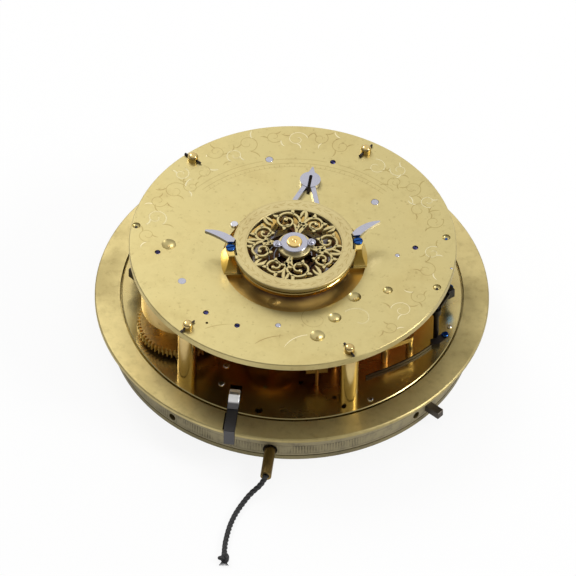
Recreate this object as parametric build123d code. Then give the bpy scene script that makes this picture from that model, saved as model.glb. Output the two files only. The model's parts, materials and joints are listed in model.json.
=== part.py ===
from build123d import *
import math
import os

# The clock movement lies dial down. Z = 0 is the face of the dial bezel, +Z points to the back
# plate, and the axis of the hands is X = Y = 0. Six o'clock, with the pull cord, is at -Y.
# All sizes are millimetres and all angles degrees.

# Edge ring, the turned rim round the movement, and the dial bezel under it
ring_radius = 55.0
flange_width = 7.0
flange_overhang = 4.2
flange_thickness = 1.4
ring_wall = 1.8
ring_top = 12.7
shelf_width = 2.4
shelf_thickness = 1.0
bezel_thickness = 1.6
bezel_width = 6.4
rim_bevel = 0.3

# Plates and pillars; the pillars' places are each an inset from the back plate's edge and an angle
plate_seat_gap = 0.6
pillar_plate_thickness = 2.3
plate_proud = 0.3
pillar_length = 17.8
plate_step = 1.8
back_plate_thickness = 2.2
pillar_radius = 2.7
pillar_foot_radius = 1.8
post_radius = 1.45
post_height = 2.1
pillar_places = ((2.9, 137.5), (4.3, 67.1), (2.7, -126.1), (2.8, -61.8))
pin_radius = 0.36
pin_length = 5.6
pin_turns = (-32, 58, 55, -54)
seat_gap = 0.02
plate_bevel = 0.2

# Dial and hands
dial_overlap = 0.8
dial_thickness = 0.8
dial_foot_radius = 0.8
dial_foot_ring = 38.0
dial_foot_angles = (20, 140, 300)
winding_hole_radius = 2.3
minute_hand_length = 37.0
hour_hand_length = 25.0
hand_thickness = 0.4
hand_width = 1.5

# Arbors and running fits
running_gap = 0.04
end_shake = 0.15
arbor_radius = 0.75
pivot_radius = 0.4
barrel_arbor_radius = 1.6
barrel_pivot_radius = 1.1
wheel_thickness = 0.8
pinion_height = 2.0
wheel_rim = 1.5
spoke_width = 1.1
free_gap = 0.3

# Tooth shapes in modules: width at the root, at the pitch line and at the tip, height above and
# depth below the pitch line
wheel_tooth = (1.5, 1.4, 0.55, 0.95, 1.35)
pinion_leaf = (0.75, 1.0, 0.55, 0.75, 1.55)

# Going train; each lift is the height of a wheel's lower face above the pillar plate
barrel_teeth = 80
centre_leaves = 12
barrel_module = 0.42
barrel_angle = 111.0
barrel_drum_radius = 15.6
barrel_drum_height = 7.6
barrel_wheel_thickness = 1.6
barrel_lift = 2.9
centre_teeth = 72
third_leaves = 8
centre_module = 0.36
centre_lift = 1.0
third_teeth = 60
contrate_leaves = 8
third_module = 0.32
third_lift = 3.7
contrate_place = (21.3, -97.5)
contrate_teeth = 42
crown_leaves = 6
contrate_module = 0.333
contrate_rim_width = 0.9
contrate_lift = 9.1
crown_axis_lift = 12.3
crown_teeth = 13
crown_radius = 4.2
crown_rim = 0.6
crown_tooth_height = 1.3
crown_web = 0.5
crown_hub_thickness = 0.7
crown_arbor_radius = 0.6
cheek_thickness = 1.2
cheek_width = 3.0
pallet_reach = 1.1
pallet_width = 0.5
pallet_length = 1.2
pallet_spread = 50.0
pallet_clearance = 0.3

# Motion work under the dial
cannon_leaves = 12
minute_wheel_teeth = 36
minute_leaves = 10
hour_wheel_teeth = 40
motion_module = 0.35
motion_angle = 150.0
cannon_radius = 1.3
hour_pipe_wall = 0.5
motion_wheel_thickness = 0.7

# Alarm train, with the barrel that shows at the left
alarm_place = (33.8, -148.8)
alarm_teeth = 60
alarm_leaves = 12
alarm_module = 0.4
alarm_arbor_angle = 111.7
alarm_lift = 1.7
alarm_wheel_thickness = 2.2
alarm_neck_radius = 6.0
alarm_drum_radius = 11.2
alarm_drum_height = 7.0
alarm_drum_gap = 0.8
alarm_second_teeth = 44
alarm_second_module = 0.34
alarm_second_lift = 4.6
barrel_wall = 0.8
mainspring_turns = 5
mainspring_strip = 0.5
mainspring_gap = 0.2

# Repeating train, from the first wheel to the fly
repeat_place = (31.3, -25.8)
repeat_teeth = (54, 54, 48)
repeat_leaves = (8, 8, 6)
repeat_modules = (0.31, 0.31, 0.3115)
repeat_angles = (202.8, 241.9, 241.8)
repeat_lifts = (8.1, 10.8, 13.7)
repeat_sinks = (1.4, 1.85, 1.85, 2.1)
fly_arbor_radius = 0.45
fly_width = 6.0
fly_thickness = 0.6
fly_lift = 5.0
fly_height = 7.0

# Balance, its recess in the back plate, and the pierced cock over it
balance_place = (5.4, -79.3)
recess_radius = 20.0
recess_depth = 1.4
balance_radius = 16.4
balance_rim_width = 1.9
balance_rim_height = 1.3
balance_lift = 2.0
balance_arms = 3
balance_arm_width = 1.6
balance_swing = 60.0
staff_radius = 0.7
staff_pivot_radius = 0.25
staff_foot_lift = 7.3
hub_radius = 2.0
cock_radius = 17.2
cock_field_radius = 13.3
cock_hub_radius = 5.6
cock_table_thickness = 1.1
cock_lift = 6.0
cock_line = 11.4
cock_foot_step = 0.6
cock_foot_width = 5.6
cock_foot_reach = 2.6
cock_foot_spread = 1.6
scroll_width = 0.75
scroll_count = 6
cock_screw_radius = 1.3
cock_screw_height = 0.35
slot_width = 0.4
slot_depth = 0.3
endstone_radius = 3.8
endstone_thickness = 1.1
endstone_ear = 1.25
endstone_ear_thickness = 0.75
endstone_screw_radius = 0.85
endstone_screw_height = 0.4
setting_radius = 2.2
setting_height = 0.5
horn_thickness = 1.0
horn_reach = 8.0
horn_foot = 1.4
horn_angle = 14.4

# Regulator and hairspring
regulator_angle = 88.0
regulator_swing = 22.0
regulator_ring_bore = 9.5
regulator_ring_width = 2.0
regulator_leg_width = 1.3
regulator_leg_thickness = 1.0
regulator_head_place = 29.6
regulator_head_radius = 2.9
regulator_leg_spread = 45.0
regulator_neck = 1.0
regulator_head_thickness = 1.15
regulator_tip = 34.6
regulator_slot_length = 6.0
regulator_slot_width = 0.9
regulator_float = 0.15
hairspring_inner = 1.6
hairspring_outer = 7.3
hairspring_turns = 4
hairspring_strip = 0.22
hairspring_height = 0.7

# Bushes, studs and screws that show on the back plate: radius from the axis, angle, size
alarm_sink = 2.0
contrate_sink = 1.8
hammer_sink = 1.15
sink_depth = 0.8
# Screws and studs in the back plate: inset from its edge, angle and, for a stud, its radius
blue_screws = ((7.9, -168.6), (11.9, 77.3), (11.5, 5.7), (10.3, -126.3), (11.3, -110.0))
steel_studs = (
    (12.4, 108.1, 1.1), (17.3, 42.7, 1.1), (16.3, -0.3, 0.65), (0.7, -4.0, 0.35), (14.9, -90.9, 0.8),
)
blue_screw_radius = 0.8
screw_length = 2.7
raised_stud = (17.9, 162.2, 1.1)
raised_stud_height = 0.6
small_hole = (38.1, -122.0, 0.4)

# Hammers: pivot and head, each as an inset from the back plate's edge and an angle, and the arm's
# height above the pillar plate
hour_hammer_place = ((2.6, -14.5), (1.0, -4.1), 9.7)
quarter_hammer_place = ((2.7, 11.3), (2.0, 2.6), 5.1)
alarm_hammer_place = ((1.5, 177.6), (1.4, -175.2), 5.9)
hammer_head = 2.0
hammer_head_height = 3.0
hammer_arm_width = 1.2
hammer_arm_thickness = 1.2
hammer_swing = 8.0

# Pillar plate furniture
plate_screws = ((33.0, -116.8, 0.9), (39.5, -112.9, 0.85), (45.2, -54.5, 0.8), (45.5, -8.5, 0.7))
plate_screw_height = 0.35
plate_holes = ((45.1, -95.0, 1.05), (33.6, -79.0, 0.7), (40.8, -66.5, 0.6), (44.9, -64.6, 0.7))
spring_screw = (45.4, -13.4, 1.0)
spring_foot = (43.9, -18.1)
spring_middle = (40.1, -34.8)
spring_end = (37.7, -50.3)
spring_foot_size = 2.2
spring_blade = 0.3
spring_height = 1.0
bridge_ends = ((35.8, -37.3), (39.1, -26.6))
bridge_lift = 5.2
bridge_width = 2.4
bridge_thickness = 1.5
bridge_post_radius = 1.0

# Latch bolt, push piece and case screw holes at the rim
bolt_x = -11.2
bolt_width = 3.0
bolt_gap = 0.15
bolt_travel = 2.5
bolt_block = (-45.6, -39.4)
bolt_block_height = 2.2
bolt_strip_thickness = 1.1
bolt_tail_drop = 5.3
push_angle = -34.8
push_side = 2.2
push_depth = 4.2
push_reach = 4.7
push_travel = 1.6
push_gap = 0.08
rim_level = 3.8
screw_hole_angles = (-40.2, -124.0)
screw_hole_radius = 1.1

# Pull cord for the repeat, its guide tube and its pulley under the pillar plate
tube_radius = 1.55
tube_wall = 0.6
tube_depth = 2.5
tube_reach = 10.1
cord_radius = 0.8
cord_travel = 10.0
pulley_groove_radius = 3.2
pulley_flange_radius = 4.3
pulley_flange = 0.35
pulley_stud_radius = 0.6
pulley_y = -36.0
knot_radius = 1.9
cord_route = (
    (0.0, -60.9, 3.8), (-0.6, -63.2, 3.2), (-3.6, -65.6, 1.4), (-5.4, -69.0, 0.8), (-6.9, -73.0, 0.8),
    (-7.9, -77.3, 0.8), (-8.3, -81.3, 0.8), (-8.5, -85.4, 0.8), (-8.2, -89.0, 0.8),
)
arc_share = 0.45

# Radii and levels worked out from the sizes above
wall_radius = ring_radius - flange_overhang
ring_bore = ring_radius - flange_width
shelf_radius = ring_bore - shelf_width
bezel_opening = wall_radius - bezel_width
dial_radius = bezel_opening + dial_overlap
pillar_plate_radius = ring_bore - plate_seat_gap
back_plate_radius = pillar_plate_radius - plate_step
cock_foot_radius = cock_radius + cock_foot_step
push_inner = wall_radius - push_depth
push_outer = wall_radius + push_reach
tube_inner = wall_radius - tube_depth
tube_mouth = wall_radius + tube_reach
plate_top = ring_top + plate_proud
plate_low = plate_top - pillar_plate_thickness
back_low = plate_top + pillar_length
back_top = back_low + back_plate_thickness
recess_floor = back_top - recess_depth
dial_top = bezel_thickness + dial_thickness
balance_low = back_top + balance_lift
cock_top = back_top + cock_lift
table_low = cock_top - cock_table_thickness
barrel_level = plate_top + barrel_lift
centre_level = plate_top + centre_lift
third_level = plate_top + third_lift
contrate_level = plate_top + contrate_lift
crown_axis_level = plate_top + crown_axis_lift
alarm_level = plate_top + alarm_lift
alarm_second_level = plate_top + alarm_second_lift
alarm_drum_high = back_low - alarm_drum_gap
alarm_drum_low = alarm_drum_high - alarm_drum_height
repeat_levels = [plate_top + lift for lift in repeat_lifts]
fly_low = plate_top + fly_lift
staff_foot_level = plate_top + staff_foot_lift
bridge_level = plate_top + bridge_lift


def polar(radius, angle, centre=(0.0, 0.0)):
    """Return the point at a radius and an angle from a centre."""
    turn = math.radians(angle)
    return (centre[0] + radius * math.cos(turn), centre[1] + radius * math.sin(turn))


def from_edge(inset, angle):
    """Return the point at an inset from the back plate's edge and an angle."""
    return polar(back_plate_radius - inset, angle)


def direction(start, end):
    """Return the angle of the line from one point to another."""
    return math.degrees(math.atan2(end[1] - start[1], end[0] - start[0]))


def disc(point, radius, low, high):
    """Return an upright cylinder between two levels."""
    return Pos(point[0], point[1], (low + high) / 2) * Cylinder(radius, high - low)


def tube(point, outer, inner, low, high):
    """Return an upright tube between two levels."""
    return disc(point, outer, low, high) - disc(point, inner, low - 1, high + 1)


def bar(start, end, width, low, high, round_ends=True):
    """Return a flat bar from one point to another, with round or square ends."""
    length = math.dist(start, end)
    middle = ((start[0] + end[0]) / 2, (start[1] + end[1]) / 2)
    turn = direction(start, end)
    beam = Pos(middle[0], middle[1], (low + high) / 2) * Rot(0, 0, turn) * Box(length, width, high - low)
    if round_ends:
        beam = beam + disc(start, width / 2, low, high) + disc(end, width / 2, low, high)
    return beam


def toothed_points(point, teeth, module, phase, tooth):
    """Return the corners of a toothed outline, with a tooth centred at the phase angle."""
    root_width, pitch_width, tip_width, rise, depth = tooth
    pitch = teeth * module / 2
    rows = ((pitch - depth * module, root_width), (pitch, pitch_width), (pitch + rise * module, tip_width))
    corners = []
    for step in range(teeth):
        middle = phase + 360 * step / teeth
        sides = [(radius, math.degrees(width * module / 2 / radius)) for radius, width in rows]
        corners += [polar(radius, middle - half, point) for radius, half in sides]
        corners += [polar(radius, middle + half, point) for radius, half in reversed(sides)]
    return corners


def toothed(point, teeth, module, phase, tooth, low, high):
    """Return a toothed disc between two levels."""
    corners = toothed_points(point, teeth, module, phase, tooth)
    return extrude(Pos(0, 0, low) * make_face(Polyline(*corners, close=True)), high - low)


def mesh_phase(driver, driver_teeth, driver_phase, follower, follower_teeth):
    """Return the follower's phase that puts its gap on the driver's tooth at the line of centres."""
    line = direction(driver, follower)
    share = ((line - driver_phase) * driver_teeth / 360) % 1
    return line + 180 - (0.5 - share) * 360 / follower_teeth


def spokes(point, outer, inner, count, low, high, turn=0):
    """Return the openings between a wheel's spokes."""
    space = tube(point, outer, inner, low - 1, high + 1)
    for step in range(count):
        space = space - bar(
            point, polar(outer + 1, turn + 360 * step / count, point), spoke_width, low - 2, high + 2,
            False,
        )
    return space


def wheel(point, teeth, module, phase, level, arms=4, thickness=wheel_thickness):
    """Return a crossed-out train wheel."""
    root = teeth * module / 2 - wheel_tooth[4] * module
    body = toothed(point, teeth, module, phase, wheel_tooth, level, level + thickness)
    return body - spokes(point, root - wheel_rim, hub_radius, arms, level, level + thickness, phase)


def arbor(point, radius=arbor_radius, pivot=pivot_radius, low=plate_low, high=back_top):
    """Return an arbor with a shoulder just clear of each plate and a pivot at each end."""
    body = disc(point, radius, plate_top + end_shake, back_low - end_shake)
    return body + disc(point, pivot, low, high)


def screw_head(point, radius, low, height, turn=0):
    """Return a slotted cheese head with a bevelled edge."""
    head = chamfer(
        disc(point, radius, low, low + height).edges().group_by(Axis.Z)[-1], min(height, radius) * 0.3,
    )
    slot = Pos(point[0], point[1], low + height) * Rot(0, 0, turn) * Box(
        3 * radius, slot_width, 2 * min(slot_depth, height * 0.7),
    )
    return head - slot


def oil_sink(point, radius, top, depth):
    """Return the dished cut of an oil sink."""
    ball = (radius ** 2 + depth ** 2) / (2 * depth)
    return Pos(point[0], point[1], top - depth + ball) * Sphere(ball)


def strip(points, thickness, low, high):
    """Return a standing strip of even thickness that follows a smooth line through points."""
    middle = Spline(*[(x, y, 0) for x, y in points])
    count = 2 * len(points)
    left = []
    right = []
    for step in range(count + 1):
        here = middle @ (step / count)
        along = middle % (step / count)
        side = Vector(-along.Y, along.X, 0) * (thickness / 2)
        left.append((here.X + side.X, here.Y + side.Y))
        right.append((here.X - side.X, here.Y - side.Y))
    outline = Spline(*left) + Line(left[-1], right[-1]) + Spline(*reversed(right)) + Line(right[0], left[0])
    return extrude(Pos(0, 0, low) * make_face(outline), high - low)


def flat_spiral(centre, inner, outer, turns, thickness, low, high, start=0):
    """Return a flat spiral spring, as straight chords."""
    steps = round(turns * 20)
    inside = []
    outside = []
    for step in range(steps + 1):
        share = step / steps
        radius = inner + (outer - inner) * share
        angle = start + 360 * turns * share
        inside.append(polar(radius - thickness / 2, angle, centre))
        outside.append(polar(radius + thickness / 2, angle, centre))
    face = make_face(Polyline(*inside, *reversed(outside), close=True))
    return extrude(Pos(0, 0, low) * face, high - low)


def save(node, shape):
    """Write one node."""
    shape.label = node
    export_step(shape, "parts/" + node + ".step")


os.makedirs("parts", exist_ok=True)

# Places of the arbors, worked out from the first arbor of each train
origin = (0.0, 0.0)
balance_axis = polar(*balance_place)
barrel_axis = polar((barrel_teeth + centre_leaves) * barrel_module / 2, barrel_angle)
contrate_axis = polar(*contrate_place)
alarm_axis = polar(*alarm_place)
alarm_second_axis = polar((alarm_teeth + alarm_leaves) * alarm_module / 2, alarm_arbor_angle, alarm_axis)
repeat_axes = [polar(*repeat_place)]
for teeth, leaves, module, angle in zip(repeat_teeth, repeat_leaves, repeat_modules, repeat_angles):
    repeat_axes.append(polar((teeth + leaves) * module / 2, angle, repeat_axes[-1]))


def third_place():
    """Return the third arbor, at both centre distances from its neighbours, on the right."""
    near = (centre_teeth + third_leaves) * centre_module / 2
    far = (third_teeth + contrate_leaves) * third_module / 2
    span = math.dist(origin, contrate_axis)
    along = (near ** 2 - far ** 2 + span ** 2) / (2 * span)
    across = math.sqrt(near ** 2 - along ** 2)
    turn = direction(origin, contrate_axis)
    return polar(across, turn + 90, polar(along, turn))


third_axis = third_place()
motion_distance = (cannon_leaves + minute_wheel_teeth) * motion_module / 2
motion_axis = polar(motion_distance, motion_angle)
hour_module = 2 * motion_distance / (minute_leaves + hour_wheel_teeth)
pillar_points = [from_edge(*place) for place in pillar_places]
pulley_axis = (-pulley_groove_radius, pulley_y)
hammer_axes = [
    from_edge(*place[0]) for place in (hour_hammer_place, quarter_hammer_place, alarm_hammer_place)
]
crown_turn = direction(balance_axis, contrate_axis)
crown_frame = Pos(
    balance_axis[0], balance_axis[1], crown_axis_level,
) * Rot(0, 0, crown_turn) * Rot(0, 90, 0)
contrate_radius = contrate_teeth * contrate_module / 2
crown_pinion_place = math.dist(balance_axis, contrate_axis) - contrate_radius
crown_tip = pallet_reach + pallet_clearance
crown_root = crown_tip + crown_tooth_height
crown_back = crown_root + crown_web + crown_hub_thickness
near_cheek = crown_back + free_gap
far_cheek = crown_pinion_place + 2.6
endstone_screw_span = endstone_radius + endstone_screw_radius + 0.05
cock_feet = [polar(cock_foot_radius, cock_line + turn, balance_axis) for turn in (0, 180)]


def rim_place(angle):
    """Return the place on the rim's wall at an angle, with X pointing outwards."""
    return Pos(*polar(wall_radius, angle), rim_level) * Rot(0, 0, angle)


def make_edge_ring():
    """Turn the edge ring: its wall, the flange over it, the plate's shelf and the cuts."""
    wall_top = ring_top - flange_thickness
    flange = disc(origin, ring_radius, wall_top, ring_top)
    flange = chamfer(flange.edges().filter_by(GeomType.CIRCLE), rim_bevel)
    wall = disc(origin, wall_radius, bezel_thickness, wall_top)
    wall = chamfer(wall.edges().group_by(Axis.Z)[0], rim_bevel)
    body = flange + wall
    body = body - disc(origin, wall_radius - ring_wall, 0, plate_low - shelf_thickness)
    body = body - disc(origin, shelf_radius, 0, ring_top + 1)
    body = body - disc(origin, ring_bore, plate_low, ring_top + 1)
    reach = 4 * ring_wall
    for angle in screw_hole_angles:
        body = body - rim_place(angle) * Rot(0, 90, 0) * Cylinder(screw_hole_radius, reach)
    body = body - rim_place(-90) * Rot(0, 90, 0) * Cylinder(tube_radius + seat_gap, reach)
    push_hole = push_side + 2 * push_gap
    body = body - rim_place(push_angle) * Box(reach, push_hole, push_hole)
    bed_low = plate_top - bolt_strip_thickness - 2 * bolt_gap
    bed = Box(
        bolt_width + 2 * bolt_gap, 2 * (ring_radius - ring_bore) + 4, ring_top - bed_low + 1,
        align=(Align.CENTER, Align.CENTER, Align.MIN),
    )
    body = body - Pos(bolt_x, -ring_radius + 4, bed_low) * bed
    notch_end = -bolt_reach() + bolt_strip_thickness + bolt_travel + bolt_gap
    notch = Box(
        bolt_width + 2 * bolt_gap, flange_width, 2 * bolt_tail_drop,
        align=(Align.CENTER, Align.MAX, Align.CENTER),
    )
    return body - Pos(bolt_x, notch_end, plate_top) * notch


def bolt_reach():
    """Return how far towards six o'clock the tail of the latch bolt lies."""
    return math.sqrt(ring_radius ** 2 - bolt_x ** 2)


def make_bezel():
    """Turn the dial bezel, the lowest ring."""
    body = disc(origin, wall_radius, 0, bezel_thickness)
    body = chamfer(body.edges().group_by(Axis.Z)[0], rim_bevel)
    return body - Cone(
        bezel_opening + 1.2, bezel_opening, bezel_thickness,
        align=(Align.CENTER, Align.CENTER, Align.MIN),
    )


def make_dial():
    """Make the enamel dial disc with its feet, centre hole and winding holes."""
    body = disc(origin, dial_radius, bezel_thickness, dial_top)
    for angle in dial_foot_angles:
        body = body + disc(polar(dial_foot_ring, angle), dial_foot_radius, dial_top, plate_top)
    body = body - disc(origin, cannon_radius + hour_pipe_wall + 4 * running_gap + free_gap, 0, dial_top + 1)
    for point in (barrel_axis, alarm_axis):
        body = body - disc(point, winding_hole_radius, 0, dial_top + 1)
    return body


def make_pillar_plate():
    """Make the pillar plate with its pillar holes, pivot holes and the slot of the latch bolt."""
    body = disc(origin, pillar_plate_radius, plate_low, plate_top)
    body = chamfer(body.edges().filter_by(GeomType.CIRCLE), plate_bevel)
    holes = [(point, pillar_foot_radius + seat_gap) for point in pillar_points]
    holes += [(polar(dial_foot_ring, angle), dial_foot_radius + seat_gap) for angle in dial_foot_angles]
    holes += [
        (point, pivot_radius + running_gap) for point in [third_axis, contrate_axis, alarm_second_axis]
    ]
    holes += [(point, pivot_radius + running_gap) for point in repeat_axes + hammer_axes]
    holes += [(point, barrel_pivot_radius + running_gap) for point in (barrel_axis, alarm_axis)]
    holes += [
        (origin, arbor_radius + running_gap), (motion_axis, pivot_radius + seat_gap),
        (pulley_axis, pulley_stud_radius + seat_gap),
    ]
    holes += [(polar(radius, angle), size) for radius, angle, size in plate_holes]
    for point, radius in holes:
        body = body - disc(point, radius, plate_low - 1, plate_top + 1)
    slot_end = bolt_block[1] + bolt_travel + 0.5
    slot_length = pillar_plate_radius + slot_end
    slot = Box(
        bolt_width + 2 * bolt_gap, slot_length, 2 * pillar_plate_thickness + 2,
        align=(Align.CENTER, Align.MAX, Align.CENTER),
    )
    return body - Pos(bolt_x, slot_end, plate_top) * slot


def make_pillars():
    """Turn the four pillars, each with a riveted foot and a pinned post."""
    group = []
    for point, turn in zip(pillar_points, pin_turns):
        body = disc(point, pillar_radius, plate_top, back_low) + disc(
            point, pillar_foot_radius, plate_low, plate_top,
        )
        post = disc(point, post_radius, back_low, back_top + post_height)
        post = fillet(post.edges().group_by(Axis.Z)[-1], post_radius * 0.7)
        body = body + post
        hole = Pos(point[0], point[1], back_top + pin_radius + 0.05) * Rot(0, 0, turn) * Rot(0, 90, 0)
        group.append(body - hole * Cylinder(pin_radius + seat_gap, 4 * post_radius))
    return Compound(children=group)


def make_pillar_pins():
    """Make the four taper pins that hold the back plate down."""
    group = []
    for point, turn in zip(pillar_points, pin_turns):
        place = Pos(point[0], point[1], back_top + pin_radius + 0.05) * Rot(0, 0, turn) * Rot(0, 90, 0)
        group.append(place * Cone(pin_radius, pin_radius * 0.7, pin_length))
    return Compound(children=group)


def make_back_plate():
    """Make the back plate, with the balance recess, the oil sinks and every hole."""
    body = disc(origin, back_plate_radius, back_low, back_top)
    body = chamfer(body.edges().filter_by(GeomType.CIRCLE), plate_bevel)
    recess = disc(balance_axis, recess_radius, recess_floor, back_top + 1)
    for point in cock_feet:
        inward = polar(cock_foot_reach + 0.2, direction(point, balance_axis), point)
        outward = polar(2 * recess_radius, direction(balance_axis, point), balance_axis)
        recess = recess - bar(
            inward, outward, cock_foot_width + 2 * cock_foot_spread + 0.4, recess_floor - 1,
            back_top + 2, False,
        )
    body = body - recess
    boss_outer = regulator_ring_bore - running_gap
    body = body + tube(balance_axis, boss_outer, boss_outer - 0.9, recess_floor - 0.1, recess_floor + 1.2)
    sinks = list(zip(repeat_axes, repeat_sinks)) + [(alarm_second_axis, alarm_sink)]
    sinks += [(point, hammer_sink) for point in hammer_axes]
    for point, radius in sinks:
        body = body - oil_sink(point, radius, back_top, sink_depth)
        body = body - disc(point, pivot_radius + running_gap, back_low - 1, back_top)
    body = body - oil_sink(contrate_axis, contrate_sink, recess_floor, sink_depth / 2)
    body = body - disc(contrate_axis, pivot_radius + running_gap, back_low - 1, back_top)
    body = body - disc(alarm_axis, barrel_pivot_radius + running_gap, back_low - 1, back_top + 1)
    body = body - disc(
        barrel_axis, barrel_pivot_radius + running_gap, back_low - 1,
        back_low + back_plate_thickness * 0.6,
    )
    for point in (origin, third_axis):
        body = body - disc(point, pivot_radius + running_gap, back_low - 1, recess_floor - 0.15)
    body = body - disc(balance_axis, staff_radius + free_gap, back_low - 1, back_top)
    for point in pillar_points:
        body = body - disc(point, post_radius + seat_gap, back_low - 1, back_top + 1)
    for place in blue_screws:
        body = body - disc(from_edge(*place), blue_screw_radius + seat_gap, back_low - 1, back_top + 1)
    for inset, angle, size in steel_studs:
        body = body - disc(from_edge(inset, angle), size + seat_gap, back_low - 1, back_top + 1)
    radius, angle, size = raised_stud
    body = body - disc(polar(radius, angle), size + seat_gap, back_low - 1, back_top + 1)
    body = body - disc(polar(small_hole[0], small_hole[1]), small_hole[2], back_low - 1, back_top + 1)
    return body


def make_blue_screws():
    """Make the blued screws that stand flush in the back plate."""
    group = []
    for step, place in enumerate(blue_screws):
        low = back_top - screw_length
        group.append(screw_head(from_edge(*place), blue_screw_radius, low, screw_length, 40 * step))
    return Compound(children=group)


def make_steel_studs():
    """Make the steel studs that stand flush in the back plate."""
    group = []
    for inset, angle, size in steel_studs:
        stud = disc(from_edge(inset, angle), size, back_top - screw_length, back_top)
        group.append(chamfer(stud.edges().group_by(Axis.Z)[-1], 0.1))
    return Compound(children=group)


def make_raised_stud():
    """Make the stud that stands up beside the left horn."""
    radius, angle, size = raised_stud
    stud = disc(polar(radius, angle), size, back_top - screw_length, back_top + raised_stud_height)
    return fillet(stud.edges().group_by(Axis.Z)[-1], 0.25)


def scroll_work():
    """Return the pierced field of the cock in the plane: curls with a leaf each, and stems between them."""
    middle = (cock_hub_radius + cock_field_radius) / 2
    curl = (cock_field_radius - cock_hub_radius) / 2
    ring_outer = curl + scroll_width / 4
    ring_inner = ring_outer - scroll_width
    field = Circle(cock_hub_radius + scroll_width / 2) - Circle(cock_hub_radius - scroll_width)
    for step in range(scroll_count):
        turn = cock_line + 360 * (step + 0.5) / scroll_count
        eye = polar(middle, turn)
        small = ring_inner * 0.52
        small_eye = polar(ring_inner - small + scroll_width / 4, turn + 130, eye)
        leaf_length = ring_inner * 0.5
        leaf_eye = polar(ring_outer - leaf_length, turn - 40, eye)
        field = field + Pos(*eye) * (Circle(ring_outer) - Circle(ring_inner))
        field = field + Pos(*small_eye) * (Circle(small) - Circle(small - scroll_width * 0.8))
        field = field + Pos(*leaf_eye) * Rot(0, 0, turn - 40) * Ellipse(leaf_length, scroll_width * 0.6)
        stem_turn = turn + 180 / scroll_count
        field = field + Pos(*polar(middle, stem_turn)) * Rot(0, 0, stem_turn) * Rectangle(
            2 * curl + scroll_width, scroll_width,
        )
        field = field + Pos(*polar(middle + curl * 0.35, stem_turn)) * Circle(scroll_width)
    return field


def make_cock():
    """Saw out the balance cock: a pierced scroll table on two flared feet."""
    table = tube(balance_axis, cock_radius, cock_field_radius, table_low, cock_top)
    table = table + disc(balance_axis, cock_hub_radius, table_low, cock_top)
    table = table + extrude(
        Pos(balance_axis[0], balance_axis[1], table_low) * scroll_work(), cock_table_thickness,
    )
    for point in cock_feet:
        outward = direction(balance_axis, point)
        arm_start = polar(cock_field_radius + 1, outward, balance_axis)
        table = table + bar(arm_start, point, cock_foot_width - 0.4, table_low, cock_top, False)
        low_face = Pos(point[0], point[1], back_top) * Rot(0, 0, outward) * Rectangle(
            2 * cock_foot_reach, cock_foot_width + 2 * cock_foot_spread,
        )
        inner_edge = cock_foot_reach - cock_foot_spread / 2
        high_place = polar(-cock_foot_spread / 2, outward, point)
        high_face = Pos(
            high_place[0], high_place[1], cock_top,
        ) * Rot(0, 0, outward) * Rectangle(2 * inner_edge, cock_foot_width)
        foot = loft([low_face, high_face])
        table = table + (foot - disc(balance_axis, balance_radius + free_gap, back_top - 1, table_low))
    hole = disc(balance_axis, staff_pivot_radius + running_gap, table_low - 1, cock_top + 1)
    for point in cock_feet:
        hole = hole + disc(point, cock_screw_radius * 0.6 + seat_gap, cock_top - 2.4, cock_top + 1)
    for turn in (0, 180):
        point = polar(endstone_screw_span, cock_line + turn, balance_axis)
        hole = hole + disc(point, endstone_screw_radius * 0.6 + seat_gap, table_low - 1, cock_top + 1)
    return table - hole


def make_cock_screws():
    """Make the two blued screws that hold the cock."""
    group = []
    for point in cock_feet:
        body = screw_head(point, cock_screw_radius, cock_top, cock_screw_height, 25)
        group.append(body + disc(point, cock_screw_radius * 0.6, cock_top - 2.2, cock_top))
    return Compound(children=group)


def make_endstone_plate():
    """Make the polished steel plate over the balance pivot."""
    body = disc(balance_axis, endstone_radius, cock_top, cock_top + endstone_thickness)
    for turn in (0, 180):
        body = body + disc(
            polar(endstone_screw_span, cock_line + turn, balance_axis), endstone_ear, cock_top,
            cock_top + endstone_ear_thickness,
        )
    body = chamfer(body.faces().sort_by(Axis.Z)[-1].edges(), 0.15)
    for turn in (0, 180):
        point = polar(endstone_screw_span, cock_line + turn, balance_axis)
        body = body - disc(point, endstone_screw_radius * 0.6 + seat_gap, cock_top - 1, cock_top + 3)
    return body - disc(balance_axis, setting_radius, cock_top - 1, cock_top + 3)


def make_endstone_screws():
    """Make the two screws of the endstone plate."""
    group = []
    low = cock_top + endstone_ear_thickness
    for turn in (0, 180):
        point = polar(endstone_screw_span, cock_line + turn, balance_axis)
        body = screw_head(point, endstone_screw_radius, low, endstone_screw_height, cock_line + 60)
        group.append(body + disc(point, endstone_screw_radius * 0.6, cock_top - 0.8, low))
    return Compound(children=group)


def make_setting():
    """Make the gilt setting that holds the endstone."""
    body = disc(
        balance_axis, setting_radius - seat_gap, cock_top,
        cock_top + endstone_thickness + setting_height,
    )
    body = fillet(body.edges().group_by(Axis.Z)[-1], setting_height * 0.9)
    return body - oil_sink(balance_axis, 0.7, cock_top + endstone_thickness + setting_height, 0.3)


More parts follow.
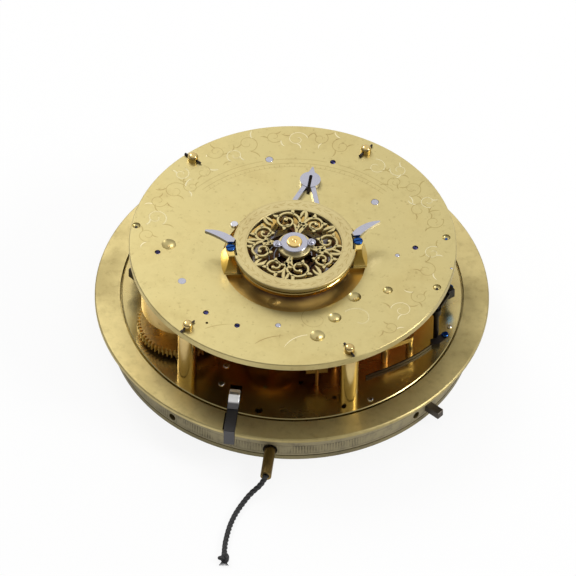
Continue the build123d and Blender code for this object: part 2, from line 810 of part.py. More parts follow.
def make_horns():
    """Make the two polished steel horns, each with a wide foot beside its cock screw."""
    group = []
    for base, side in ((180, -1), (0, 1)):
        def spot(reach, offset):
            return polar(cock_radius + reach, cock_line + base + side * offset, balance_axis)
        clear = math.degrees((cock_screw_radius + running_gap * 2) / cock_radius)
        tip_back = spot(horn_reach, horn_angle + 0.5)
        tip_front = spot(horn_reach, horn_angle - 0.5)
        foot_back = spot(0.0, horn_angle - 4.0)
        foot_front = spot(horn_foot, clear)
        corners = (foot_back, spot(-horn_foot / 2, horn_angle - 6.0), spot(-horn_foot / 4, clear), foot_front)
        outline = ThreePointArc(tip_back, spot(horn_reach / 2, horn_angle + 1.2), foot_back)
        outline = outline + Polyline(*corners)
        outline = outline + ThreePointArc(foot_front, spot(horn_reach * 0.45, horn_angle - 5.2), tip_front)
        outline = outline + Line(tip_front, tip_back)
        horn = extrude(Pos(0, 0, cock_top) * make_face(outline), horn_thickness)
        group.append(horn)
    return Compound(children=group)


def make_balance():
    """Make the balance wheel with its hub and collet."""
    high = balance_low + balance_rim_height
    rim = tube(balance_axis, balance_radius, balance_radius - balance_rim_width, balance_low, high)
    rim = chamfer(rim.edges().filter_by(GeomType.CIRCLE), 0.15)
    arm_low = balance_low + 0.25
    for step in range(balance_arms):
        end = polar(
            balance_radius - balance_rim_width / 2, cock_line + 90 + 360 * step / balance_arms,
            balance_axis,
        )
        rim = rim + bar(balance_axis, end, balance_arm_width, arm_low, arm_low + 0.8, False)
    rim = rim + disc(balance_axis, hub_radius, arm_low, table_low - 0.6)
    return rim - disc(balance_axis, staff_radius + seat_gap, balance_low - 1, table_low + 1)


def make_staff():
    """Make the verge: the balance staff with its two pallets and the collet."""
    body = disc(balance_axis, staff_radius, staff_foot_level + 0.1, table_low - 0.3)
    body = body + disc(balance_axis, staff_pivot_radius, staff_foot_level - 1.0, cock_top - 0.1)
    body = body + disc(
        balance_axis, hairspring_inner - 0.4, balance_low - hairspring_height - 0.8, balance_low - 0.1,
    )
    pallet_top = crown_axis_level + crown_radius - crown_rim / 2
    pallet_bottom = crown_axis_level - crown_radius + crown_rim / 2
    for level, side in ((pallet_top, 1), (pallet_bottom, -1)):
        tip = polar(pallet_reach, crown_turn + side * pallet_spread, balance_axis)
        body = body + bar(
            balance_axis, tip, pallet_width, level - pallet_length / 2, level + pallet_length / 2,
            False,
        )
    return body


def make_hairspring():
    """Make the flat balance spring with its stud."""
    high = balance_low - 0.5
    low = high - hairspring_height
    start = cock_line - 120
    spring = flat_spiral(
        balance_axis, hairspring_inner, hairspring_outer, hairspring_turns, hairspring_strip, low,
        high, start,
    )
    stud = disc(polar(hairspring_outer + 0.3, start, balance_axis), 0.5, recess_floor, high + 0.1)
    return spring + stud


def make_regulator():
    """Make the regulator: a ring under the balance, two legs, a slotted head and a pointer."""
    low = recess_floor + 0.6
    leg_low = back_top + regulator_float
    leg_high = leg_low + regulator_leg_thickness
    ring_outer = regulator_ring_bore + regulator_ring_width
    body = tube(balance_axis, ring_outer, regulator_ring_bore, low, leg_low + 0.2)
    head = polar(regulator_head_place, regulator_angle, balance_axis)
    neck = polar(regulator_head_place - regulator_head_radius * 0.7, regulator_angle, balance_axis)
    for side in (-1, 1):
        root_angle = regulator_angle + side * regulator_leg_spread
        root = polar(ring_outer - regulator_leg_width / 2, root_angle, balance_axis)
        shoulder = polar(regulator_neck, regulator_angle + side * 90, neck)
        body = body + bar(root, shoulder, regulator_leg_width, leg_low, leg_high)
    body = body + disc(head, regulator_head_radius, leg_low, leg_low + regulator_head_thickness)
    frame = Pos(balance_axis[0], balance_axis[1], leg_low) * Rot(0, 0, regulator_angle)
    base = regulator_head_place + regulator_head_radius * 0.8
    pointer = make_face(
        Polyline((base, 1.1), (regulator_tip, 0.15), (regulator_tip, -0.15), (base, -1.1), close=True)
    )
    body = body + extrude(frame * pointer, regulator_leg_thickness)
    slot = SlotOverall(regulator_slot_length, regulator_slot_width)
    middle = regulator_head_place - regulator_head_radius * 0.45
    return body - extrude(
        frame * Pos(middle, 0, regulator_leg_thickness * 0.3) * slot, regulator_head_thickness,
    )


def make_potence():
    """Make the potence, which carries the foot of the balance staff."""
    back = polar(3.2, crown_turn + 180, balance_axis)
    front = polar(1.6, crown_turn, balance_axis)
    post = bar(
        polar(2.2, crown_turn + 180, balance_axis), polar(3.9, crown_turn + 180, balance_axis), 2.6,
        staff_foot_level - 1.3, back_low, False,
    )
    foot = bar(back, front, 2.6, staff_foot_level - 1.3, staff_foot_level, False)
    return post + foot - disc(
        balance_axis, staff_pivot_radius + running_gap, staff_foot_level - 1.1, back_low,
    )


def crown_post(near):
    """Return one cheek that carries the arbor of the crown wheel."""
    start = polar(near, crown_turn, balance_axis)
    end = polar(near + cheek_thickness, crown_turn, balance_axis)
    cheek = bar(start, end, cheek_width, crown_axis_level - cheek_width / 2, back_low, False)
    hole = crown_frame * Pos(0, 0, near + cheek_thickness / 2) * Cylinder(
        pivot_radius + running_gap, 2 * cheek_thickness,
    )
    return cheek - hole


def make_counter_potence():
    """Make the two cheeks that carry the crown wheel's arbor, on one foot."""
    start = polar(near_cheek, crown_turn, balance_axis)
    end = polar(far_cheek + cheek_thickness, crown_turn, balance_axis)
    foot = bar(start, end, cheek_width, back_low - 0.9, back_low, False)
    return crown_post(near_cheek) + crown_post(far_cheek) + foot


def make_crown_wheel():
    """Make the crown wheel, its arbor and its pinion, lying along the line to the verge."""
    base = crown_root + crown_web
    height = base - crown_tip
    rim = Pos(0, 0, (crown_tip + base) / 2) * (
        Cylinder(crown_radius, height) - Cylinder(crown_radius - crown_rim, height + 1)
    )
    pitch = 2 * math.pi * crown_radius / crown_teeth
    mouth = crown_tip - 0.1
    gap = make_face(
        Polyline((0.35, mouth), (0.75, crown_root), (pitch - 0.1, crown_root), (pitch, mouth), close=True)
    )
    cutter = Pos(0, crown_rim - crown_radius + 0.5, 0) * Rot(90, 0, 0) * extrude(gap, 2 * crown_rim)
    for step in range(crown_teeth):
        rim = rim - Rot(0, 0, 360 * step / crown_teeth) * cutter
    body = rim + Pos(0, 0, (base + crown_back) / 2) * Cylinder(crown_radius, crown_hub_thickness)
    end = far_cheek + cheek_thickness - 0.1
    body = body + Pos(0, 0, (base + end) / 2) * Cylinder(pivot_radius, end - base)
    shoulder = near_cheek + cheek_thickness + 0.1
    body = body + Pos(0, 0, (shoulder + far_cheek - 0.1) / 2) * Cylinder(
        crown_arbor_radius, far_cheek - 0.1 - shoulder,
    )
    leaves = toothed(
        origin, crown_leaves, contrate_module, 0, pinion_leaf, crown_pinion_place - 1.3,
        crown_pinion_place + 1.3,
    )
    return crown_frame * (body + leaves)


def make_contrate_wheel():
    """Make the contrate wheel, whose teeth stand up to meet the crown wheel's pinion."""
    outer = contrate_radius + contrate_rim_width / 2
    inner = contrate_radius - contrate_rim_width / 2
    pitch_level = crown_axis_level - crown_leaves * contrate_module / 2
    top = pitch_level + 0.8 * contrate_module
    root = pitch_level - 1.3 * contrate_module
    body = disc(contrate_axis, outer, contrate_level, contrate_level + 0.7)
    body = body - spokes(contrate_axis, inner, hub_radius * 0.8, 4, contrate_level, contrate_level + 0.7)
    body = body + tube(contrate_axis, outer, inner, contrate_level, top)
    half_low = (math.pi - 1.5) * contrate_module / 2
    half_high = (math.pi - 0.7) * contrate_module / 2
    mouth = top + 0.1
    gap = make_face(
        Polyline((-half_low, root), (half_low, root), (half_high, mouth), (-half_high, mouth), close=True)
    )
    cutter = Pos(0, 0.3 - inner, 0) * Rot(90, 0, 0) * extrude(gap, contrate_rim_width + 0.6)
    for step in range(contrate_teeth):
        turn = crown_turn + 180 + 360 * step / contrate_teeth
        body = body - Pos(*contrate_axis) * Rot(0, 0, turn + 90) * cutter
    phase = mesh_phase(third_axis, third_teeth, 0, contrate_axis, contrate_leaves)
    leaves = toothed(
        contrate_axis, contrate_leaves, third_module, phase, pinion_leaf, third_level - 0.6,
        third_level + 1.4,
    )
    return body + leaves + arbor(contrate_axis, high=recess_floor - sink_depth / 2 + 0.1)


def barrel_box(point, level, wheel_height, drum_radius, drum_height, hole):
    """Return the hollow of a barrel, to be cut from its outside."""
    low = level + wheel_height * 0.5
    high = level + wheel_height + drum_height - barrel_wall
    return disc(point, drum_radius - barrel_wall, low, high) + disc(
        point, hole + running_gap, level - 1, high + 5,
    )


def make_barrel(point, teeth, module, phase, level, wheel_height, drum_radius, drum_height):
    """Return a barrel: a drum with a great wheel at its foot, turning on its arbor."""
    body = toothed(point, teeth, module, phase, wheel_tooth, level, level + wheel_height)
    drum = disc(point, drum_radius, level + wheel_height, level + wheel_height + drum_height)
    body = body + fillet(drum.edges().group_by(Axis.Z)[-1], 0.4)
    return body - barrel_box(point, level, wheel_height, drum_radius, drum_height, barrel_arbor_radius)


def make_alarm_barrel():
    """Make the alarm barrel: a great wheel, a neck over it and a wide drum under the back plate."""
    body = toothed(
        alarm_axis, alarm_teeth, alarm_module, 0, wheel_tooth, alarm_level,
        alarm_level + alarm_wheel_thickness,
    )
    body = body + disc(alarm_axis, alarm_neck_radius, alarm_level, alarm_drum_low + barrel_wall)
    drum = disc(alarm_axis, alarm_drum_radius, alarm_drum_low, alarm_drum_high)
    body = body + fillet(drum.edges().filter_by(GeomType.CIRCLE), 0.4)
    body = body - disc(
        alarm_axis, alarm_drum_radius - barrel_wall, alarm_drum_low + barrel_wall,
        alarm_drum_high - barrel_wall,
    )
    return body - disc(alarm_axis, barrel_arbor_radius + running_gap, plate_top, back_top)


def make_barrel_arbor(point, top):
    """Return the arbor of a barrel, with a winding square that shows in the dial."""
    body = arbor(point, barrel_arbor_radius, barrel_pivot_radius, plate_low, top)
    square = barrel_pivot_radius * math.sqrt(2)
    return body + Pos(
        point[0], point[1], (dial_top + plate_low) / 2,
    ) * Box(square, square, plate_low - dial_top + 0.01)


def make_mainspring(point, drum_radius, low, high):
    """Return the coiled mainspring inside a barrel, between the floor and the lid of its hollow."""
    outer = drum_radius - barrel_wall - mainspring_strip / 2
    inner = barrel_arbor_radius + free_gap + mainspring_strip / 2 + 2
    return flat_spiral(
        point, inner, outer - 0.05, mainspring_turns, mainspring_strip, low + mainspring_gap,
        high - mainspring_gap,
    )


def make_hand(length, level, bore, boss_radius, width, turn):
    """Return a hand with an open ring near its tip, on a round boss."""
    tip = length - 6 * width
    body = disc(origin, boss_radius, level, level + hand_thickness)
    body = body + bar(origin, polar(tip, turn), width * 0.7, level, level + hand_thickness, False)
    eye = polar(tip, turn)
    body = body + disc(eye, width * 1.5, level, level + hand_thickness)
    frame = Rot(0, 0, turn)
    point = make_face(
        Polyline((tip, width * 0.8), (length, 0.12), (length, -0.12), (tip, -width * 0.8), close=True)
    )
    body = body + extrude(Pos(0, 0, level) * frame * point, hand_thickness)
    body = body - disc(polar(tip, turn), width * 0.75, level - 1, level + 1)
    return body - disc(origin, bore, level - 1, level + 1)


def make_hammer(place):
    """Return a hammer: an upright arbor, an arm and a square head at the edge of the plates."""
    pivot_place, head_place, lift = place
    pivot = from_edge(*pivot_place)
    head = from_edge(*head_place)
    level = plate_top + lift
    body = arbor(pivot, high=back_top - sink_depth + 0.1)
    body = body + disc(pivot, arbor_radius + 0.6, level - 0.4, level + hammer_arm_thickness + 0.4)
    body = body + bar(pivot, head, hammer_arm_width, level, level + hammer_arm_thickness)
    block = Pos(
        head[0], head[1], level + hammer_arm_thickness / 2,
    ) * Rot(0, 0, head_place[1] + 45) * Box(hammer_head, hammer_head, hammer_head_height)
    return body + block


def make_blade_spring():
    """Make the long hammer spring, screwed to the pillar plate at its square foot."""
    foot = polar(*spring_foot)
    screw = polar(spring_screw[0], spring_screw[1])
    end = polar(*spring_end)
    middle = polar(*spring_middle)
    body = strip(
        [foot, polar(*[(a + b) / 2 for a, b in zip(spring_foot, spring_middle)]), middle, end],
        spring_blade, plate_top + 0.1, plate_top + spring_height,
    )
    body = body + Pos(foot[0], foot[1], plate_top + spring_height / 2) * Rot(0, 0, 20) * Box(
        spring_foot_size, spring_foot_size, spring_height,
    )
    body = body + bar(foot, screw, spring_screw[2] * 2.2, plate_top, plate_top + 0.6)
    return body - disc(screw, spring_screw[2] * 0.6, plate_top - 1, plate_top + 3)


def make_plate_screws():
    """Make the screws that show on the pillar plate between the pillars."""
    group = []
    for radius, angle, size in plate_screws:
        group.append(screw_head(polar(radius, angle), size, plate_top, plate_screw_height, angle))
    return Compound(children=group)


def make_spring_screw():
    """Make the blued screw of the hammer spring."""
    radius, angle, size = spring_screw
    return screw_head(polar(radius, angle), size, plate_top + 0.6, 0.5, 30)


def make_bridge():
    """Make the brass bridge that stands on two posts at the right."""
    ends = [polar(*place) for place in bridge_ends]
    body = bar(ends[0], ends[1], bridge_width, bridge_level, bridge_level + bridge_thickness)
    for point in ends:
        body = body + disc(point, bridge_post_radius, plate_top, bridge_level)
    return body


def make_latch_bolt():
    """Make the latch bolt: a strip in the rim's slot, its thumb block and its turned-down tail."""
    top = plate_top
    strip_low = top - bolt_strip_thickness
    reach = bolt_reach()
    length = reach + bolt_block[1]
    body = Pos(bolt_x, bolt_block[1], strip_low) * Box(
        bolt_width, length, bolt_strip_thickness, align=(Align.CENTER, Align.MAX, Align.MIN),
    )
    tail = Box(bolt_width, bolt_strip_thickness, bolt_tail_drop, align=(Align.CENTER, Align.MIN, Align.MAX))
    body = body + Pos(bolt_x, -reach, top) * tail
    block = Box(
        bolt_width, bolt_block[1] - bolt_block[0], bolt_block_height,
        align=(Align.CENTER, Align.MAX, Align.MIN),
    )
    block = chamfer(block.edges().group_by(Axis.Z)[-1], 0.5)
    return body + Pos(bolt_x, bolt_block[1], top) * block


def make_push_piece():
    """Make the square push piece that stands out of the rim."""
    length = push_outer - push_inner
    body = Box(length, push_side, push_side)
    body = chamfer(body.faces().sort_by(Axis.X)[-1].edges(), 0.2)
    return Pos(*polar((push_outer + push_inner) / 2, push_angle), rim_level) * Rot(0, 0, push_angle) * body


def along_cord(radius, start, end):
    """Return a cylinder on the axis of the cord's guide tube."""
    return Pos(0, -(start + end) / 2, rim_level) * Rot(90, 0, 0) * Cylinder(radius, end - start)


def make_cord_tube():
    """Make the brass guide tube of the pull cord."""
    body = along_cord(tube_radius, tube_inner, tube_mouth)
    return body - along_cord(tube_radius - tube_wall, tube_inner - 1, tube_mouth + 1)


def make_pulley():
    """Make the grooved pulley that the pull cord turns."""
    groove = cord_radius + running_gap
    low = rim_level - groove
    high = rim_level + groove
    core = pulley_groove_radius - cord_radius
    body = disc(pulley_axis, core, low, high)
    body = body + disc(pulley_axis, pulley_flange_radius, high, high + pulley_flange)
    body = body + disc(pulley_axis, pulley_flange_radius, low - pulley_flange, low)
    return body - disc(pulley_axis, pulley_stud_radius + running_gap, 0, plate_low)


def make_cord():
    """Return the free cord: straight runs joined by arcs as large as the runs allow."""
    radii = []
    for before, here, after in zip(cord_route, cord_route[1:], cord_route[2:]):
        first = Vector(*here) - Vector(*before)
        second = Vector(*after) - Vector(*here)
        turn = first.get_angle(second)
        radii.append(arc_share * min(first.length, second.length) / math.tan(math.radians(turn / 2)))
    path = FilletPolyline(*cord_route, radius=radii)
    print("cord arc radii", [round(radius, 1) for radius in radii], "length", round(path.length, 1))
    start = Plane(origin=path @ 0, z_dir=path % 0)
    return sweep(start * Circle(cord_radius), path=path)


def make_knot():
    """Return the knot that ends the cord."""
    end = Vector(*cord_route[-1])
    along = (end - Vector(*cord_route[-2])).normalized()
    place = end + along * knot_radius * 0.9
    body = Pos(place.X, place.Y, knot_radius) * Sphere(knot_radius)
    cut = Plane(origin=end, z_dir=along)
    body = split(body, cut, keep=Keep.TOP)
    floor = Plane(origin=(0, 0, 0.1), z_dir=(0, 0, 1))
    return split(body, floor, keep=Keep.TOP)


phase_barrel = 0
phase_centre_pinion = mesh_phase(barrel_axis, barrel_teeth, phase_barrel, origin, centre_leaves)
phase_third_pinion = mesh_phase(origin, centre_teeth, 0, third_axis, third_leaves)
phase_minute_wheel = mesh_phase(origin, cannon_leaves, 0, motion_axis, minute_wheel_teeth)
phase_hour_wheel = mesh_phase(motion_axis, minute_leaves, 0, origin, hour_wheel_teeth)
phase_alarm_pinion = mesh_phase(alarm_axis, alarm_teeth, 0, alarm_second_axis, alarm_leaves)

save("edge_ring", make_edge_ring())
save("dial_bezel", make_bezel())
save("dial", make_dial())
save("pillar_plate", make_pillar_plate())
save("pillars", make_pillars())
save("pillar_pins", make_pillar_pins())
save("back_plate", make_back_plate())
save("blued_plate_screws", make_blue_screws())
save("steel_plate_studs", make_steel_studs())
save("raised_stud", make_raised_stud())
save("balance_cock", make_cock())
save("cock_screws", make_cock_screws())
save("endstone_plate", make_endstone_plate())
save("endstone_screws", make_endstone_screws())
save("endstone_setting", make_setting())
save("steel_horns", make_horns())
save("balance_wheel", make_balance())
save("balance_staff", make_staff())
save("hairspring", make_hairspring())
save("regulator", make_regulator())
save("potence", make_potence())
save("counter_potence", make_counter_potence())
save("crown_wheel", make_crown_wheel())
save("contrate_wheel", make_contrate_wheel())

third_pinion = toothed(
    third_axis, third_leaves, centre_module, phase_third_pinion, pinion_leaf, plate_top + 0.4,
    centre_level + 1.6,
)
third = wheel(
    third_axis, third_teeth, third_module, 0, third_level,
) + third_pinion + arbor(third_axis, high=recess_floor - 0.25)
save("third_wheel", third)

centre_pinion = toothed(
    origin, centre_leaves, barrel_module, phase_centre_pinion, pinion_leaf, barrel_level - 0.5,
    barrel_level + 2,
)
centre_hub = disc(origin, hub_radius + 0.1, centre_level, centre_level + wheel_thickness)
centre_wheel = wheel(origin, centre_teeth, centre_module, 0, centre_level) + centre_hub
save("centre_wheel", centre_wheel - disc(origin, arbor_radius + seat_gap, 0, back_top))
centre_arbor = disc(
    origin, arbor_radius, hand_thickness, back_low - end_shake,
) + disc(origin, pivot_radius, back_low - 1, recess_floor - 0.25)
save("centre_arbor", centre_arbor + (centre_pinion - disc(origin, arbor_radius, 0, back_top)))

barrel_sizes = (barrel_level, barrel_wheel_thickness, barrel_drum_radius, barrel_drum_height)
save("going_barrel", make_barrel(barrel_axis, barrel_teeth, barrel_module, phase_barrel, *barrel_sizes))
save("going_barrel_arbor", make_barrel_arbor(barrel_axis, back_low + back_plate_thickness * 0.5))
barrel_floor = barrel_level + barrel_wheel_thickness / 2
barrel_lid = barrel_level + barrel_wheel_thickness + barrel_drum_height - barrel_wall
save("going_mainspring", make_mainspring(barrel_axis, barrel_drum_radius, barrel_floor, barrel_lid))

cannon_low = 0.35
cannon = disc(origin, cannon_radius, cannon_low, plate_low - 0.1)
cannon = cannon + toothed(
    origin, cannon_leaves, motion_module, 0, pinion_leaf, plate_low - 1.2, plate_low - 0.1,
)
save("cannon_pinion", cannon - disc(origin, arbor_radius + seat_gap, 0, plate_low))
minute_wheel = toothed(
    motion_axis, minute_wheel_teeth, motion_module, phase_minute_wheel, wheel_tooth, plate_low - 1.1,
    plate_low - 1.1 + motion_wheel_thickness,
)
minute_leaf_low = dial_top + 0.15
minute_wheel = minute_wheel + toothed(
    motion_axis, minute_leaves, hour_module, 0, pinion_leaf, minute_leaf_low, plate_low - 1.1,
)
save("minute_wheel", minute_wheel - disc(motion_axis, pivot_radius + running_gap, 0, plate_low))
save("minute_wheel_stud", disc(motion_axis, pivot_radius, dial_top + 0.05, plate_top))
hour_pipe = cannon_radius + running_gap
hour_wheel = toothed(
    origin, hour_wheel_teeth, hour_module, phase_hour_wheel, wheel_tooth, dial_top + 0.2,
    dial_top + 0.2 + motion_wheel_thickness,
)
hour_wheel = hour_wheel + disc(origin, hour_pipe + hour_pipe_wall, cannon_low + 0.6, dial_top + 0.3)
save("hour_wheel", hour_wheel - disc(origin, hour_pipe, 0, plate_low))
minute_hand_bore = cannon_radius + seat_gap
hour_hand_bore = hour_pipe + hour_pipe_wall + seat_gap
minute_hand = make_hand(minute_hand_length, cannon_low, minute_hand_bore, 2.4, hand_width, 60)
save("minute_hand", minute_hand)
hour_hand = make_hand(hour_hand_length, cannon_low + 0.6, hour_hand_bore, 3.0, hand_width * 1.15, 150)
save("hour_hand", hour_hand)

save("alarm_barrel", make_alarm_barrel())
save("alarm_barrel_arbor", make_barrel_arbor(alarm_axis, back_top))
alarm_floor = alarm_drum_low + barrel_wall
alarm_lid = alarm_drum_high - barrel_wall
save("alarm_mainspring", make_mainspring(alarm_axis, alarm_drum_radius, alarm_floor, alarm_lid))
alarm_second = wheel(alarm_second_axis, alarm_second_teeth, alarm_second_module, 0, alarm_second_level, 5)
alarm_second = alarm_second + toothed(
    alarm_second_axis, alarm_leaves, alarm_module, phase_alarm_pinion, pinion_leaf, alarm_level - 0.3,
    alarm_level + 2.5,
)
save("alarm_second_wheel", alarm_second + arbor(alarm_second_axis, high=back_top - sink_depth + 0.1))

repeat_names = ("repeat_first_wheel", "repeat_second_wheel", "repeat_third_wheel", "fly")
phase = 0
for step, (name, point) in enumerate(zip(repeat_names, repeat_axes)):
    body_radius = arbor_radius if step < len(repeat_teeth) else fly_arbor_radius
    piece = arbor(
        point, body_radius, min(pivot_radius, body_radius - 0.05), high=back_top - sink_depth + 0.1,
    )
    if step > 0:
        low = repeat_levels[step - 1] - 0.4
        phase = mesh_phase(repeat_axes[step - 1], repeat_teeth[step - 1], 0, point, repeat_leaves[step - 1])
        piece = piece + toothed(
            point, repeat_leaves[step - 1], repeat_modules[step - 1], phase, pinion_leaf, low,
            low + 1.6,
        )
    if step < len(repeat_teeth):
        piece = piece + wheel(point, repeat_teeth[step], repeat_modules[step], 0, repeat_levels[step])
    else:
        piece = piece + Pos(
            point[0], point[1], fly_low + fly_height / 2,
        ) * Rot(0, 0, 12) * Box(fly_width, fly_thickness, fly_height)
    save(name, piece)

save("hour_hammer", make_hammer(hour_hammer_place))
save("quarter_hammer", make_hammer(quarter_hammer_place))
save("alarm_hammer", make_hammer(alarm_hammer_place))
save("hammer_spring", make_blade_spring())
save("hammer_spring_screw", make_spring_screw())
save("pillar_plate_screws", make_plate_screws())
save("rack_bridge", make_bridge())
save("latch_bolt", make_latch_bolt())
save("push_piece", make_push_piece())
save("cord_tube", make_cord_tube())
save("cord_pulley", make_pulley())
save("pulley_stud", disc(pulley_axis, pulley_stud_radius, dial_top + 0.1, plate_top))
save("inner_cord", along_cord(cord_radius - 0.05, -pulley_y, tube_mouth - free_gap))
save("pull_cord", make_cord())
save("cord_knot", make_knot())
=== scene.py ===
"""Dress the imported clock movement: its metals, engraving, pierced cock, pull cord and dial."""

import json
import logging
import math
from dataclasses import dataclass, field
from enum import Enum
from functools import cache
from typing import Any, Sequence, Union

import bmesh
import bpy
from mathutils import Matrix, Quaternion, Vector

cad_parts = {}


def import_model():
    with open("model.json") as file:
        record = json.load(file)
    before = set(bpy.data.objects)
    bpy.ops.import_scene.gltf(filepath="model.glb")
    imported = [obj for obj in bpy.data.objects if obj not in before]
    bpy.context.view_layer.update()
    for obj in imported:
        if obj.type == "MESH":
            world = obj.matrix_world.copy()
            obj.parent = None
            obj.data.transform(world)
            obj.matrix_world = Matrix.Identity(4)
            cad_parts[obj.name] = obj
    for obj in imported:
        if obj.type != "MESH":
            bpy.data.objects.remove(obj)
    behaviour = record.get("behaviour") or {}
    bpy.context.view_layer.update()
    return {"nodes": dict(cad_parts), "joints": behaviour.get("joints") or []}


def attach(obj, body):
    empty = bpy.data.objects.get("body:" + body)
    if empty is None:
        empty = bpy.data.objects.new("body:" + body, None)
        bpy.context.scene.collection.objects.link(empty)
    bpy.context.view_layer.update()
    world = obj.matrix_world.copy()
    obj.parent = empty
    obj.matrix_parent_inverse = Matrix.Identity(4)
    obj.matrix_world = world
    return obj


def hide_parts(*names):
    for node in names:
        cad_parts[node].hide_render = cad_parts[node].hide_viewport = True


LOG = logging.getLogger("clock")
MM = 0.001
SHARP_CORNER = math.radians(38)
WHITE = (1.0, 1.0, 1.0, 1.0)
Point = tuple[float, float]
Place = tuple[float, float, float]
Colour = tuple[float, float, float]
Value = Union["Signal", float]

def polar(radius: float, angle: float, centre: Point = (0.0, 0.0)) -> Point:
    """Return the point at a radius and an angle from a centre.

    Args:
        radius: Distance from the centre.
        angle: Angle from +X, in degrees.
        centre: The centre.

    Returns:
        The point.
    """
    turn = math.radians(angle)
    return centre[0] + radius * math.cos(turn), centre[1] + radius * math.sin(turn)


def placed(name: str, data: bpy.types.ID) -> bpy.types.Object:
    """Put a new object in the scene.

    Args:
        name: The object's name.
        data: Its mesh, curve, lamp or camera.

    Returns:
        The object.
    """
    made = bpy.data.objects.new(name, data)
    bpy.context.scene.collection.objects.link(made)
    return made


def traced(curve: bpy.types.Curve) -> bpy.types.Mesh:
    """Return the mesh of a curve or a text.

    Args:
        curve: The curve, whose object is in the scene only for a moment.

    Returns:
        The mesh.
    """
    guide = placed(curve.name, curve)
    bpy.context.view_layer.update()
    mesh = bpy.data.meshes.new_from_object(guide.evaluated_get(bpy.context.evaluated_depsgraph_get()))
    bpy.data.objects.remove(guide)
    return mesh


# Places and levels of the movement, in millimetres, as the frame has them
FLANGE_TOP = 12.7
FLANGE_LOW = 11.3
WALL_RADIUS = 50.8
BEZEL_TOP = 1.6
DIAL_FACE = 1.6
PLATE_TOP = 13.0
BACK_TOP = PLATE_TOP + 20.0
COCK_TOP = BACK_TOP + 6.0
COCK_LOW = COCK_TOP - 1.1
BALANCE = polar(5.4, -79.3)
COCK_LINE = 11.4

# Depths of fine relief, in metres
TURNED_DEPTH = 0.000012
POLISHED_DEPTH = 0.000006
RIM_DEPTH = 0.00006


class Grain(Enum):
    """How a surface was worked."""

    PLAIN = "plain"
    TURNED = "turned"
    BRUSHED = "brushed"


class Signal:
    """A value that varies over a surface, with the operators that shader maths needs."""

    def __init__(self, bench: "Bench", socket: bpy.types.NodeSocket) -> None:
        """Wrap a socket.

        Args:
            bench: The material's bench.
            socket: The output socket that carries the value.
        """
        self.bench = bench
        self.socket = socket

    def __add__(self, other: Value) -> "Signal":
        """Return the sum."""
        return self.bench.maths("ADD", self, other)

    def __sub__(self, other: Value) -> "Signal":
        """Return the difference."""
        return self.bench.maths("SUBTRACT", self, other)

    def __rsub__(self, other: float) -> "Signal":
        """Return the difference from a number."""
        return self.bench.maths("SUBTRACT", other, self)

    def __mul__(self, other: Value) -> "Signal":
        """Return the product."""
        return self.bench.maths("MULTIPLY", self, other)

    def __gt__(self, other: Value) -> "Signal":
        """Return 1 where this is greater."""
        return self.bench.maths("GREATER_THAN", self, other)

    def __lt__(self, other: Value) -> "Signal":
        """Return 1 where this is less."""
        return self.bench.maths("LESS_THAN", self, other)


